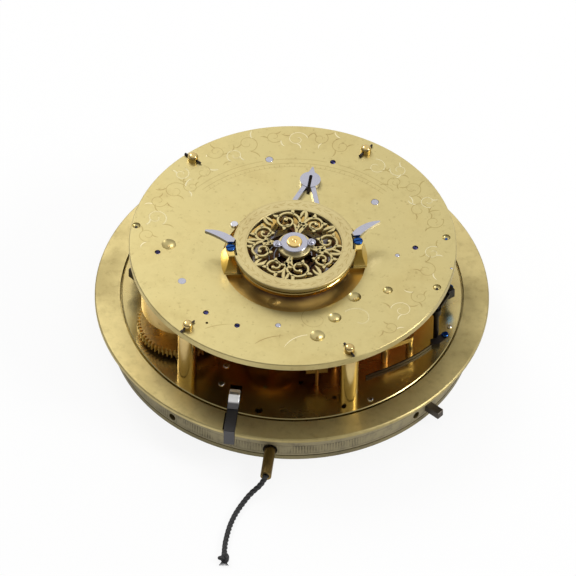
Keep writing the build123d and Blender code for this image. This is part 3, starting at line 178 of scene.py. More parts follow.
class Bench:
    """The nodes of one material or world."""

    def __init__(self, holder: Union[bpy.types.Material, bpy.types.World]) -> None:
        """Clear the nodes.

        Args:
            holder: The material or world.
        """
        self.holder = holder
        self.holder.use_nodes = True
        self.tree = self.holder.node_tree
        self.tree.nodes.clear()

    def node(self, kind: str, settings: dict[str, Any], inputs: dict[Any, Any]) -> bpy.types.Node:
        """Add a node.

        Args:
            kind: The node's type.
            settings: Its settings, set first. A ramp's stops are pairs of place and colour.
            inputs: Values, sockets or signals by socket name or number.

        Returns:
            The node.
        """
        made = self.tree.nodes.new(kind)
        for name, value in settings.items():
            if name == "stops":
                while len(made.color_ramp.elements) < len(value):
                    made.color_ramp.elements.new(1.0)
                for element, (place, shade) in zip(made.color_ramp.elements, value):
                    element.position = place
                    element.color = (*shade, 1.0)
            else:
                setattr(made, name, value)
        for name, value in inputs.items():
            if isinstance(value, Signal):
                value = value.socket
            if isinstance(value, bpy.types.NodeSocket):
                self.tree.links.new(value, made.inputs[name])
            else:
                made.inputs[name].default_value = value
        return made

    def maths(self, operation: str, first: Value, second: Value = 0.0) -> Signal:
        """Add a Math node.

        Args:
            operation: The node's operation.
            first: The first value.
            second: The second value.

        Returns:
            The result.
        """
        made = self.node("ShaderNodeMath", {"operation": operation}, {0: first, 1: second})
        return Signal(self, made.outputs[0])

    def place(self) -> bpy.types.NodeSocket:
        """Return the place on the object, in metres."""
        return self.node("ShaderNodeTexCoord", {}, {}).outputs["Object"]

    def axes(self) -> tuple[Signal, Signal, Signal]:
        """Return the place's three coordinates."""
        split = self.node("ShaderNodeSeparateXYZ", {}, {0: self.place()})
        return Signal(self, split.outputs[0]), Signal(self, split.outputs[1]), Signal(self, split.outputs[2])

    def ring(self, centre: Point) -> Signal:
        """Return the distance from an upright axis, in metres.

        Args:
            centre: The axis, in millimetres.

        Returns:
            The distance.
        """
        x, y, _ = self.axes()
        across = x - centre[0] * MM
        along = y - centre[1] * MM
        return self.maths("SQRT", across * across + along * along)

    def noise(self, scale: float, detail: float = 3.0, where: Any = None, rough: float = 0.55) -> Signal:
        """Add a noise texture.

        Args:
            scale: Features to the metre.
            detail: Octaves.
            where: The place to read, or None for the object's own.
            rough: How strong the small octaves are.

        Returns:
            The noise, from 0 to 1.
        """
        inputs = {"Vector": where or self.place(), "Scale": scale, "Detail": detail, "Roughness": rough}
        return Signal(self, self.node("ShaderNodeTexNoise", {}, inputs).outputs[0])

    def vector(self, x: Value, y: Value, z: Value) -> bpy.types.NodeSocket:
        """Return a vector made of three values."""
        return self.node("ShaderNodeCombineXYZ", {}, {0: x, 1: y, 2: z}).outputs[0]

    def band(self, value: Signal, low: float, high: float) -> Signal:
        """Return 0 below low, 1 above high and a smooth step between.

        Args:
            value: The value to read.
            low: Where the step starts.
            high: Where it ends.

        Returns:
            The step.
        """
        settings = {"interpolation_type": "SMOOTHSTEP"}
        inputs = {"Value": value, "From Min": low, "From Max": high, "To Min": 0.0, "To Max": 1.0}
        return Signal(self, self.node("ShaderNodeMapRange", settings, inputs).outputs[0])

    def mix(self, share: Value, first: Any, second: Any) -> bpy.types.NodeSocket:
        """Mix two colours.

        Args:
            share: How much of the second colour.
            first: A colour or socket.
            second: A colour or socket.

        Returns:
            The mixed colour.
        """
        def whole(shade: Any) -> Any:
            """Give a plain colour its fourth number."""
            return (*shade, 1.0) if isinstance(shade, tuple) else shade
        inputs = {0: share, 6: whole(first), 7: whole(second)}
        return self.node("ShaderNodeMix", {"data_type": "RGBA"}, inputs).outputs[2]

    def bump(self, height: Signal, distance: float, strength: float = 1.0) -> bpy.types.NodeSocket:
        """Return the normal of a relief.

        Args:
            height: The relief, from 0 to 1.
            distance: Its depth in metres.
            strength: Its share.

        Returns:
            The bent normal.
        """
        inputs = {"Height": height, "Distance": distance, "Strength": strength}
        return self.node("ShaderNodeBump", {}, inputs).outputs[0]

    def finish(self, inputs: dict[str, Any]) -> bpy.types.Material:
        """Close the material with one surface shader.

        Args:
            inputs: The shader's values, sockets and signals by name.

        Returns:
            The material.
        """
        shader = self.node("ShaderNodeBsdfPrincipled", {}, inputs)
        self.node("ShaderNodeOutputMaterial", {}, {"Surface": shader.outputs[0]})
        return self.holder


@dataclass(frozen=True)
class Metal:
    """A metal finish: colour, polish, patina, the way it was worked and, where set, painted shade."""

    name: str
    colour: Colour
    aged: Colour
    roughness: float
    spread: float = 0.08
    patina: float = 0.35
    marks: float = 0.5
    grain: Grain = Grain.PLAIN
    centre: Point = (0.0, 0.0)
    # Painted shade: these fields darken the colour below a level near the centre, and inside a radius round
    # the centre
    shade_below_level: float = 0.0
    shade_below_reach: float = 60.0
    shade_below_colour: Colour = (0.0, 0.0, 0.0)
    shaded_core_radius: float = 0.0
    shaded_core_colour: Colour = (0.0, 0.0, 0.0)

    def relief(self, bench: Bench) -> Signal:
        """Return the fine relief that the tool left.

        Args:
            bench: The material's bench.

        Returns:
            The relief, from 0 to 1.
        """
        x, y, z = bench.axes()
        if self.grain is Grain.TURNED:
            where = bench.vector(bench.ring(self.centre) * 60.0, z * 60.0, 0.0)
            return bench.noise(90.0, 4.0, where, 0.7)
        if self.grain is Grain.BRUSHED:
            where = bench.vector(x * 4.0, y * 90.0, z * 90.0)
            return bench.noise(45.0, 4.0, where, 0.6)
        return bench.noise(1900.0, 3.0)

    def material(self) -> bpy.types.Material:
        """Return the finish as a material."""
        bench = Bench(bpy.data.materials.new(self.name))
        cloud = bench.band(bench.noise(55.0, 4.0), 0.42, 0.72)
        specks = bench.band(bench.noise(900.0, 2.0), 0.62, 0.74)
        mottle = bench.band(bench.noise(260.0, 5.0, None, 0.72), 0.45, 0.75)
        x, y, z = bench.axes()
        where = bench.vector(x * 3.0 + y * 1.4, y * 60.0 - x * 22.0, z * 60.0)
        scratches = bench.band(bench.noise(70.0, 5.0, where, 0.75), 0.6, 0.74)
        tarnish = cloud * (self.patina * 0.8) + specks * (self.patina * 0.8) + mottle * (self.patina * 0.4)
        tarnish = bench.maths("MINIMUM", tarnish, 1.0)
        shade = bench.mix(tarnish, self.colour, self.aged)
        ring = bench.ring(self.centre)
        # Painted shade below a level, as down in a recess or on the lower faces of a bolt
        if self.shade_below_level:
            painted_shade_below = 1.0 - bench.band(z, (self.shade_below_level - 0.35) * MM, self.shade_below_level * MM)
            shade = bench.mix(painted_shade_below * (ring < self.shade_below_reach * MM), shade, self.shade_below_colour)
        # Painted shade inside a radius round the centre, as under the cock or under the back plate
        if self.shaded_core_radius:
            ring = ring + bench.noise(90.0, 3.0) * (0.1 * self.shaded_core_radius * MM)
            inner = 1.0 - bench.band(ring, 0.9 * self.shaded_core_radius * MM, 1.1 * self.shaded_core_radius * MM)
            shade = bench.mix(inner, shade, self.shaded_core_colour)
        rough = cloud * self.spread + scratches * (self.spread * self.marks) + self.roughness
        relief = self.relief(bench) + scratches * (-0.4 * self.marks)
        depth = TURNED_DEPTH if self.grain is Grain.TURNED else POLISHED_DEPTH
        normal = bench.bump(relief, depth, 0.5)
        inputs = {"Base Color": shade, "Roughness": rough, "Metallic": 1.0, "Normal": normal}
        return bench.finish(inputs)


@dataclass(frozen=True)
class RimMetal(Metal):
    """The edge ring's brass: a turned flange and a milled band between two grooves on its side."""

    notches: int = 400
    band_low: float = 2.6
    band_high: float = 5.6
    groove: float = 0.14
    side_colour: Colour = (0.44, 0.385, 0.245)
    side_dirt: Colour = (0.16, 0.14, 0.10)
    notch_colour: Colour = (0.10, 0.085, 0.05)
    groove_colour: Colour = (0.03, 0.025, 0.02)

    def material(self) -> bpy.types.Material:
        """Return the finish as a material."""
        bench = Bench(bpy.data.materials.new(self.name))
        x, y, z = bench.axes()
        ring = bench.ring(self.centre)
        side = bench.band(ring, (WALL_RADIUS - 0.3) * MM, (WALL_RADIUS - 0.1) * MM)
        side = side * (z < (FLANGE_LOW + 0.02) * MM)
        inside = (z > self.band_low * MM) * (z < self.band_high * MM) * side
        plain = bench.band(x, 0.020, 0.028)
        turn = bench.maths("ARCTAN2", y, x) * self.notches
        wave = bench.maths("SINE", turn + bench.noise(300.0, 3.0) * 2.4)
        wear = bench.band(bench.noise(160.0, 3.0), 0.35, 0.65)
        notch = (wave * 0.5 + 0.5) * inside * wear * (1.0 - plain)
        lines = side * (1.0 - bench.band(z, (BEZEL_TOP + 0.1) * MM, (BEZEL_TOP + 0.45) * MM))
        for level in (self.band_low, self.band_high):
            off = bench.maths("ABSOLUTE", z - level * MM)
            lines = bench.maths("MAXIMUM", lines, side * (1.0 - bench.band(off, 0.0, self.groove * MM)) * 0.5)
        cloud = bench.band(bench.noise(48.0, 5.0), 0.4, 0.7)
        grime = bench.band(bench.noise(420.0, 4.0, None, 0.7), 0.45, 0.75)
        mottle = bench.maths("MINIMUM", cloud * self.patina + grime * (self.patina * 0.6), 1.0)
        flange = bench.mix(mottle, self.colour, self.aged)
        worn = bench.mix(bench.maths("MINIMUM", grime * 0.6, 1.0), self.side_colour, self.side_dirt)
        band = bench.mix(notch * 0.75, worn, self.notch_colour)
        shade = bench.mix(lines * 0.85, bench.mix(side, flange, band), self.groove_colour)
        relief = self.relief(bench) * (1.0 - side) * 0.2 + notch * 0.7 - lines * 1.2
        rough = cloud * self.spread + side * 0.16 + self.roughness
        inputs = {
            "Base Color": shade,
            "Roughness": rough,
            "Metallic": 1.0 - grime * side * 0.4,
            "Normal": bench.bump(relief, RIM_DEPTH, 0.8),
        }
        return bench.finish(inputs)


@dataclass(frozen=True)
class Enamel:
    """Fired white enamel."""

    name: str = "white enamel"

    def material(self) -> bpy.types.Material:
        """Return the finish as a material."""
        bench = Bench(bpy.data.materials.new(self.name))
        cloud = bench.noise(60.0, 3.0)
        specks = bench.band(bench.noise(700.0, 2.0), 0.74, 0.78)
        shade = bench.mix(cloud * 0.5, (0.86, 0.84, 0.78), (0.90, 0.89, 0.85))
        shade = bench.mix(specks * 0.5, shade, (0.45, 0.40, 0.32))
        inputs = {
            "Base Color": shade,
            "Roughness": cloud * 0.08 + 0.12,
            "Coat Weight": 0.6,
            "Coat Roughness": 0.05,
            "Normal": bench.bump(cloud, 0.00008, 0.4),
        }
        return bench.finish(inputs)


@dataclass(frozen=True)
class Silk:
    """Black twisted silk."""

    name: str = "black silk"
    colour: Colour = (0.006, 0.006, 0.007)
    worn: Colour = (0.028, 0.027, 0.028)

    def material(self) -> bpy.types.Material:
        """Return the finish as a material."""
        bench = Bench(bpy.data.materials.new(self.name))
        fibres = bench.noise(5200.0, 3.0)
        dust = bench.band(bench.noise(600.0, 3.0), 0.5, 0.75)
        shade = bench.mix(fibres * 0.5 + dust * 0.3, self.colour, self.worn)
        inputs = {
            "Base Color": shade,
            "Roughness": fibres * 0.2 + 0.5,
            "Sheen Weight": 0.08,
            "Sheen Roughness": 0.4,
            "Normal": bench.bump(fibres, 0.00008, 0.8),
        }
        return bench.finish(inputs)


@dataclass(frozen=True)
class Ink:
    """Black paint of the dial's figures."""

    name: str = "dial black"

    def material(self) -> bpy.types.Material:
        """Return the finish as a material."""
        bench = Bench(bpy.data.materials.new(self.name))
        cloud = bench.noise(900.0, 3.0)
        shade = bench.mix(cloud * 0.5, (0.012, 0.012, 0.015), (0.03, 0.03, 0.032))
        normal = bench.bump(cloud, 0.00001, 0.3)
        return bench.finish({"Base Color": shade, "Roughness": cloud * 0.1 + 0.2, "Normal": normal})


Finish = Union[Metal, Enamel, Silk, Ink]

# The back plate: painted shade down in the balance's recess, and a near-black painted shade inside it under
# the cock
PALE_BRASS = Metal(
    "pale plate brass", (0.56, 0.47, 0.215), (0.39, 0.31, 0.13), 0.33, 0.14, 0.65, 0.9,
    centre=BALANCE, shade_below_level=BACK_TOP - 0.2, shade_below_reach=20.5, shade_below_colour=(0.52, 0.34, 0.10),
    shaded_core_radius=15.6, shaded_core_colour=(0.09, 0.045, 0.022),
)
# The pillar plate: a redder, darker painted shade inside a radius of 41 mm, where it lies under the back
# plate
POLISHED_PLATE = Metal(
    "polished plate brass", (0.60, 0.49, 0.22), (0.42, 0.31, 0.12), 0.2, 0.1, 0.45, 0.5,
    shaded_core_radius=41.0, shaded_core_colour=(0.62, 0.31, 0.11),
)
PILLAR_BRASS = Metal(
    "pillar brass", (0.70, 0.53, 0.22), (0.40, 0.26, 0.11), 0.15, 0.1, 0.5, 0.5, Grain.TURNED,
)
RIM_BRASS = RimMetal(
    "rim brass", (0.56, 0.46, 0.21), (0.36, 0.29, 0.125), 0.4, 0.14, 0.7, 0.8, Grain.TURNED,
)
BEZEL_BRASS = Metal(
    "bezel brass", (0.36, 0.31, 0.17), (0.20, 0.17, 0.11), 0.34, 0.1, 0.7, 0.5, Grain.TURNED,
)
GILT = Metal("bright gilt", (0.88, 0.64, 0.24), (0.64, 0.40, 0.13), 0.14, 0.1, 0.35, 0.4)
# The balance: a near-black painted shade inside a radius of 16.2 mm, under the cock, leaving the rim's outer
# edge bright
BALANCE_GILT = Metal(
    "balance gilt", (0.90, 0.68, 0.22), (0.66, 0.42, 0.13), 0.12, 0.08, 0.3, 0.4,
    centre=BALANCE, shaded_core_radius=16.2, shaded_core_colour=(0.085, 0.035, 0.016),
)
COCK_GILT = Metal("cock gilt", (0.52, 0.435, 0.215), (0.37, 0.29, 0.13), 0.4, 0.1, 0.6, 0.6)
FOOT_GILT = Metal("cock foot gilt", (0.92, 0.68, 0.22), (0.78, 0.50, 0.14), 0.1, 0.06, 0.3, 0.3)
WHEEL_BRASS = Metal(
    "wheel brass", (0.70, 0.52, 0.22), (0.38, 0.26, 0.10), 0.25, 0.12, 0.55, 0.5, Grain.TURNED,
)
TUBE_BRASS = Metal("tube brass", (0.36, 0.25, 0.09), (0.16, 0.11, 0.05), 0.26, 0.12, 0.6, 0.5, Grain.TURNED)
CUT_LINE = Metal("engraver's cut", (0.42, 0.33, 0.13), (0.27, 0.19, 0.08), 0.34, 0.14, 0.7, 0.3)
BRIGHT_CUT = Metal("bright engraver's cut", (0.80, 0.72, 0.46), (0.62, 0.52, 0.29), 0.24, 0.12, 0.5, 0.3)
STEEL = Metal("bright steel", (0.50, 0.50, 0.58), (0.30, 0.29, 0.35), 0.2, 0.1, 0.5, 0.6, Grain.BRUSHED)
BRIGHT_STEEL = Metal("mirror steel", (0.74, 0.74, 0.78), (0.50, 0.50, 0.54), 0.1, 0.08, 0.4, 0.5)
# The latch bolt: a white painted highlight on its block's top, with painted shade on every face below that
# level
LIT_TOP_BOLT_STEEL = Metal(
    "bolt steel painted lit top", (0.92, 0.92, 0.93), (0.72, 0.72, 0.74), 0.42, 0.1, 0.4, 0.5, Grain.BRUSHED,
    shade_below_level=FLANGE_TOP + 1.6, shade_below_colour=(0.11, 0.108, 0.112),
)
PUSH_STEEL = Metal("push piece steel", (0.13, 0.115, 0.10), (0.07, 0.055, 0.045), 0.4, 0.12, 0.7, 0.5)
BLUE_STEEL = Metal("blued steel", (0.02, 0.09, 0.30), (0.04, 0.05, 0.20), 0.18, 0.1, 0.4, 0.5)
NAVY_STEEL = Metal("navy blued steel", (0.06, 0.06, 0.16), (0.09, 0.06, 0.12), 0.2, 0.1, 0.4, 0.5)
DARK_STEEL = Metal("dark steel", (0.035, 0.033, 0.035), (0.07, 0.05, 0.04), 0.34, 0.14, 0.6, 0.5)
# Near-black painted shade for the sheets laid where shade falls in gaps and slots
SHADE_SHEET = Metal("painted shade sheet", (0.020, 0.015, 0.010), (0.012, 0.009, 0.008), 0.5, 0.1, 0.4, 0.3)
SPRING_STEEL = Metal("spring steel", (0.28, 0.29, 0.34), (0.14, 0.13, 0.15), 0.28, 0.1, 0.5, 0.5)

FINISH_NODES: dict[Finish, tuple[str, ...]] = {
    RIM_BRASS: ("edge_ring",),
    BEZEL_BRASS: ("dial_bezel",),
    Enamel(): ("dial",),
    POLISHED_PLATE: ("pillar_plate",),
    PILLAR_BRASS: ("pillars",),
    DARK_STEEL: ("pillar_pins", "hour_hammer", "alarm_hammer", "hammer_spring"),
    PALE_BRASS: ("back_plate",),
    NAVY_STEEL: ("blued_plate_screws",),
    STEEL: (
        "steel_plate_studs", "endstone_plate", "endstone_screws", "steel_horns", "balance_staff",
        "regulator", "centre_arbor", "going_barrel_arbor", "cannon_pinion", "minute_wheel_stud",
        "alarm_barrel_arbor", "pulley_stud",
    ),
    BRIGHT_STEEL: ("raised_stud", "pillar_plate_screws"),
    BLUE_STEEL: ("cock_screws", "minute_hand", "hour_hand", "quarter_hammer", "hammer_spring_screw"),
    GILT: ("endstone_setting", "crown_wheel", "contrate_wheel"),
    BALANCE_GILT: ("balance_wheel",),
    SPRING_STEEL: ("hairspring", "going_mainspring", "alarm_mainspring"),
    WHEEL_BRASS: (
        "potence", "counter_potence", "third_wheel", "centre_wheel", "going_barrel", "minute_wheel",
        "hour_wheel", "alarm_barrel", "alarm_second_wheel", "repeat_first_wheel", "repeat_second_wheel",
        "repeat_third_wheel", "rack_bridge", "cord_pulley",
    ),
    TUBE_BRASS: ("fly", "cord_tube"),
    LIT_TOP_BOLT_STEEL: ("latch_bolt",),
    PUSH_STEEL: ("push_piece",),
    Silk(): ("inner_cord",),
}


@cache
def paint(finish: Finish) -> bpy.types.Material:
    """Return a finish's material, made once.

    Args:
        finish: The finish.

    Returns:
        The material.
    """
    return finish.material()


def dress(nodes: dict[str, bpy.types.Object]) -> None:
    """Give every carried-over solid its material.

    Args:
        nodes: The frame's objects by node name.
    """
    for finish, names in FINISH_NODES.items():
        for name in names:
            for place in nodes[name].material_slots:
                place.material = paint(finish)
            LOG.info("dressed %s with %s", name, finish.name)


class Forge:
    """Collects the surfaces of one piece, in millimetres, and makes it an object."""

    def __init__(self, name: str) -> None:
        """Start a piece.

        Args:
            name: The piece's name.
        """
        self.name = name
        self.points: list[Place] = []
        self.faces: list[tuple[int, ...]] = []

    def grid(self, rows: Sequence[Sequence[Place]], closed: bool, caps: bool = True) -> None:
        """Add a skin through rows of points.

        Args:
            rows: The rows, all of one length.
            closed: Whether each row is a loop.
            caps: Whether the first and last rows are filled.
        """
        start = len(self.points)
        width = len(rows[0])
        for row in rows:
            self.points.extend(row)
        span = width if closed else width - 1
        for line in range(len(rows) - 1):
            for step in range(span):
                here = start + line * width + step
                side = start + line * width + (step + 1) % width
                self.faces.append((here, side, side + width, here + width))
        if caps and closed:
            self.faces.append(tuple(start + step for step in reversed(range(width))))
            last = start + (len(rows) - 1) * width
            self.faces.append(tuple(last + step for step in range(width)))

    def lathe(self, profile: Sequence[Point], centre: Point, segments: int = 128) -> None:
        """Add a turned skin.

        Args:
            profile: Radius and level pairs, as a closed loop.
            centre: The axis.
            segments: Steps of a full turn.
        """
        rows = []
        for step in range(segments + 1):
            angle = 360.0 * step / segments
            rows.append([(*polar(radius, angle, centre), level) for radius, level in profile])
        self.grid(rows, True, False)

    @staticmethod
    def halves(path: Sequence[Point], widths: Sequence[float]) -> list[Point]:
        """Return the steps from a line's points to its left edge.

        Args:
            path: The line's middle.
            widths: Its width at each point.

        Returns:
            The steps.
        """
        steps = []
        for order, width in enumerate(widths):
            before = path[max(order - 1, 0)]
            after = path[min(order + 1, len(path) - 1)]
            run, rise = after[0] - before[0], after[1] - before[1]
            length = math.hypot(run, rise) or 1.0
            steps.append((-rise / length * width / 2, run / length * width / 2))
        return steps

    def stroke(self, path: Sequence[Point], widths: Sequence[float], low: float, high: float) -> None:
        """Add a standing stroke with a crowned top and tapered ends.

        Args:
            path: The stroke's middle line.
            widths: Its width at each point.
            low: Its lowest level.
            high: Its highest level.
        """
        rows = []
        for here, side, width in zip(path, self.halves(path, widths), widths):
            edge = high - min(0.14, width * 0.18)
            section = ((1, low), (1, edge), (0.72, high), (0, high), (-0.72, high), (-1, edge), (-1, low))
            x, y = side
            rows.append([(here[0] + x * share, here[1] + y * share, level) for share, level in section])
        self.grid(rows, True)

    def ribbon(self, path: Sequence[Point], widths: Union[float, Sequence[float]], level: float) -> None:
        """Add a flat line lying on a face.

        Args:
            path: The line's middle.
            widths: Its width, or the width at each point.
            level: Its level.
        """
        if isinstance(widths, float):
            widths = [widths] * len(path)
        rows = []
        for here, side in zip(path, self.halves(path, widths)):
            rows.append([(here[0] + side[0] * way, here[1] + side[1] * way, level) for way in (1, -1)])
        self.grid(rows, False)

    def disc(self, centre: Point, radius: float, low: float, high: float, steps: int = 20) -> None:
        """Add a small upright disc with a crowned top.

        Args:
            centre: Its middle.
            radius: Its radius.
            low: Its lowest level.
            high: Its highest level.
            steps: Its sides.
        """
        rows = []
        profile = ((1.0, low), (1.0, high - radius * 0.35), (0.75, high - radius * 0.1), (0.3, high))
        for share, level in profile:
            angles = (360 * step / steps for step in range(steps))
            rows.append([(*polar(radius * share, angle, centre), level) for angle in angles])
        self.grid(rows, True)

    def tube(self, path: Sequence[Vector], radius: float, sides: int = 10) -> None:
        """Add a round tube along a path.

        Args:
            path: Points in millimetres.
            radius: The tube's radius.
            sides: The steps round it.
        """
        rows = []
        normal = Vector((0.0, 0.0, 1.0))
        for step, here in enumerate(path):
            along = (path[min(step + 1, len(path) - 1)] - path[max(step - 1, 0)]).normalized()
            normal = (normal - along * normal.dot(along)).normalized()
            across = along.cross(normal)
            row = []
            for turn in range(sides):
                angle = 2 * math.pi * turn / sides
                spot = here + normal * (radius * math.cos(angle)) + across * (radius * math.sin(angle))
                row.append(tuple(spot))
            rows.append(row)
        self.grid(rows, True)

    def close(
        self, material: bpy.types.Material, body: str, slot: str, smooth: bool = True,
    ) -> bpy.types.Object:
        """Make the object and let it ride.

        Args:
            material: Its material.
            body: The body that it rides on.
            slot: The record's material slot; not used.
            smooth: Whether its faces shade smoothly, up to sharp corners.

        Returns:
            The object.
        """
        mesh = bpy.data.meshes.new(self.name)
        mesh.from_pydata([tuple(value * MM for value in point) for point in self.points], [], self.faces)
        shape = bmesh.new()
        shape.from_mesh(mesh)
        bmesh.ops.remove_doubles(shape, verts=shape.verts, dist=1e-7)
        bmesh.ops.recalc_face_normals(shape, faces=shape.faces)
        if smooth:
            for face in shape.faces:
                face.smooth = True
            for edge in shape.edges:
                if len(edge.link_faces) == 2 and edge.calc_face_angle(0.0) > SHARP_CORNER:
                    edge.smooth = False
        shape.to_mesh(mesh)
        shape.free()
        mesh.materials.append(material)
        piece = placed(self.name, mesh)
        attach(piece, body)
        LOG.info("made %s: %d faces", self.name, len(mesh.polygons))
        return piece


@dataclass
class Flourish:
    """Draws scrolls and leaves as strokes: lists of points with a width at each."""

    strokes: list[tuple[list[Point], list[float]]] = field(default_factory=list)
    eyes: list[tuple[Point, float]] = field(default_factory=list)

    def curl(
        self, eye: Point, radius: float, start: float, turns: float, hand: int, thick: float, thin: float,
    ) -> list[Point]:
        """Add a spiral that winds in to its eye.

        Args:
            eye: The spiral's middle.
            radius: Its first radius.
            start: The angle that it starts at.
            turns: How many turns it makes.
            hand: 1 or -1, the way it winds.
            thick: Its first width.
            thin: Its last width.

        Returns:
            The spiral's points.
        """
        steps = int(30 * turns) + 8
        points = []
        widths = []
        for step in range(steps + 1):
            share = step / steps
            reach = radius * (1.0 - 0.78 * share)
            points.append(polar(reach, start + hand * 360 * turns * share, eye))
            widths.append(thick + (thin - thick) * share)
        self.strokes.append((points, widths))
        self.eyes.append((points[-1], thin))
        return points

    def leaf(self, root: Point, heading: float, length: float, bend: float, width: float) -> None:
        """Add a pointed leaf that bends as it goes.

        Args:
            root: Where it starts.
            heading: The angle that it leaves at.
            length: Its length.
            bend: How far it turns, in degrees.
            width: Its greatest width.
        """
        points = [root]
        widths = [width * 0.25]
        steps = 12
        for step in range(steps):
            share = (step + 1) / steps
            points.append(polar(length / steps, heading + bend * share, points[-1]))
            widths.append(width * (math.sin(math.pi * (0.12 + 0.88 * share)) ** 0.8 * 0.95 + 0.05))
        self.strokes.append((points, widths))

    def spray(
        self, points: Sequence[Point], hand: int, shares: Sequence[float], length: float, width: float,
    ) -> None:
        """Add leaves along the outer side of a spiral.

        Args:
            points: The spiral's points.
            hand: The way it winds.
            shares: Where the leaves leave, from 0 to 1.
            length: The leaves' length.
            width: The leaves' width.
        """
        for order, share in enumerate(shares):
            index = min(int(share * (len(points) - 1)), len(points) - 2)
            here, after = points[index], points[index + 1]
            heading = math.degrees(math.atan2(after[1] - here[1], after[0] - here[0]))
            grown = length * (1.0 - 0.14 * order)
            self.leaf(here, heading - hand * 28, grown, hand * -75, width)

    def clear_of(self, spots: Sequence[Place], margin: float) -> None:
        """Cut the strokes away round holes, screws and sinks.

        Args:
            spots: Place and radius of each thing to keep clear of.
            margin: The room to leave.
        """
        kept = []
        for points, widths in self.strokes:
            run: list[Point] = []
            sizes: list[float] = []
            for point, width in zip(points, widths):
                near = any(math.hypot(point[0] - x, point[1] - y) < size + margin for x, y, size in spots)
                if not near:
                    run.append(point)
                    sizes.append(width)
                if near or point is points[-1]:
                    if len(run) > 2:
                        kept.append((run, sizes))
                    run = []
                    sizes = []
        self.strokes = kept


@dataclass
class BalanceCock:
    """The pierced and engraved cock over the balance."""

    outer: float = 17.2
    field_radius: float = 13.5
    hub: float = 4.6
    bore: float = 0.9
    bevel: float = 0.18
    stem: float = 0.84
    foot_inner: float = 16.75
    foot_outer: float = 20.4
    foot_half: float = 4.4
    foot_spread: float = 1.3
    foot_shares: tuple[float, ...] = (0.0, 0.08, 0.2, 0.36, 0.55, 0.75, 0.9, 0.97, 1.0)
    border_leaves: int = 46
    border_line: float = 0.09
    screw_reach: float = 17.8
    screw_room: float = 1.4
    curls: tuple[tuple[float, float, float, int], ...] = (
        (8, 9.3, 3.9, 1), (57, 9.4, 3.1, -1), (98, 9.2, 3.4, 1), (141, 9.5, 3.2, -1),
        (184, 9.0, 3.8, 1), (231, 9.4, 3.2, -1), (274, 9.2, 3.5, 1), (319, 9.5, 3.1, -1),
    )
    rim_leaves: tuple[Point, ...] = (
        (34, 48), (79, -46), (120, 50), (163, -44), (208, 48), (252, -50), (297, 45), (342, -48),
    )

    def scrolls(self) -> Flourish:
        """Return the pierced scrolls: uneven curls round the hub, with leaves between them."""
        work = Flourish()
        for turn, reach, size, way in self.curls:
            angle = COCK_LINE + 90 + turn
            eye = polar(reach, angle, BALANCE)
            spiral = work.curl(eye, size, angle - way * 150, 1.45, way, self.stem, self.stem * 0.6)
            work.spray(spiral, way, (0.05, 0.2, 0.36, 0.55), size * 0.7, self.stem * 1.3)
            work.leaf(spiral[len(spiral) * 2 // 3], angle + way * 60, size * 0.5, way * 80, self.stem * 1.1)
            root = polar(self.hub - 0.3, angle - way * 18, BALANCE)
            work.leaf(root, angle - way * 34, 4.2, way * 60, self.stem * 1.2)
        for turn, bend in self.rim_leaves:
            angle = COCK_LINE + 90 + turn
            rim = polar(self.field_radius, angle, BALANCE)
            work.leaf(rim, angle + 180 - bend * 0.7, 4.0, bend, self.stem * 1.25)
            work.leaf(rim, angle + 180 + bend * 0.8, 3.2, -bend, self.stem * 1.05)
        return work

    def build(self) -> bpy.types.Object:
        """Make the cock's table.

        Returns:
            The table.
        """
        forge = Forge("pierced_cock_table")
        inner = self.field_radius - 0.35
        ring = [(inner, COCK_LOW), (self.outer, COCK_LOW), (self.outer, COCK_TOP - self.bevel)]
        ring += [(self.outer - self.bevel, COCK_TOP), (self.field_radius - 0.2, COCK_TOP)]
        forge.lathe([*ring, (inner, COCK_TOP - 0.16)], BALANCE)
        rim = self.hub + 0.2
        hub = [(self.bore, COCK_LOW), (rim, COCK_LOW), (rim, COCK_TOP - 0.22), (self.hub, COCK_TOP)]
        forge.lathe([*hub, (self.bore, COCK_TOP)], BALANCE, 64)
        work = self.scrolls()
        limit = self.field_radius + 0.25
        for points, widths in work.strokes:
            held = []
            for point in points:
                shrink = min(1.0, limit / math.dist(point, BALANCE))
                held.append(tuple(base + (value - base) * shrink for base, value in zip(BALANCE, point)))
            forge.stroke(held, widths, COCK_LOW + 0.05, COCK_TOP - 0.04)
        for eye, width in work.eyes:
            forge.disc(eye, width * 1.15, COCK_LOW + 0.1, COCK_TOP - 0.02)
        table = forge.close(paint(COCK_GILT), "frame", "gilt_brass")
        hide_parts("balance_cock")
        return table

    def feet(self) -> bpy.types.Object:
        """Make the two flared feet.

        Returns:
            The feet.
        """
        forge = Forge("cock_feet")
        for base in (0, 180):
            rows = []
            for share in self.foot_shares:
                level = BACK_TOP + (COCK_TOP - BACK_TOP) * share
                flare = self.foot_spread * (1.0 - share) ** 2.2
                outer = self.foot_outer - self.foot_spread + flare - (0.15 if share == 1.0 else 0.0)
                half = self.foot_half - self.foot_spread + flare - (0.12 if share == 1.0 else 0.0)
                inner = self.foot_inner if level < COCK_LOW else self.outer - 0.9
                row = []
                for step in range(-3, 4):
                    offset = half * step / 3
                    row.append(self.spot(math.sqrt(max(inner ** 2 - offset ** 2, 0.0)), offset, base, level))
                for step in range(3, -4, -1):
                    offset = half * step / 3
                    bow = outer - 0.5 * (abs(step) / 3) ** 2
                    row.append(self.spot(bow, offset, base, level))
                rows.append(row)
            forge.grid(rows, True)
        return forge.close(paint(FOOT_GILT), "frame", "gilt_brass")

    def spot(self, along: float, across: float, base: float, level: float) -> Place:
        """Return a point in the cock's own lines.

        Args:
            along: Distance along the line of the feet.
            across: Distance to its left.
            base: 0 or 180, which foot.
            level: The level.

        Returns:
            The point.
        """
        turn = math.radians(COCK_LINE + base)
        x = BALANCE[0] + along * math.cos(turn) - across * math.sin(turn)
        y = BALANCE[1] + along * math.sin(turn) + across * math.cos(turn)
        return x, y, level

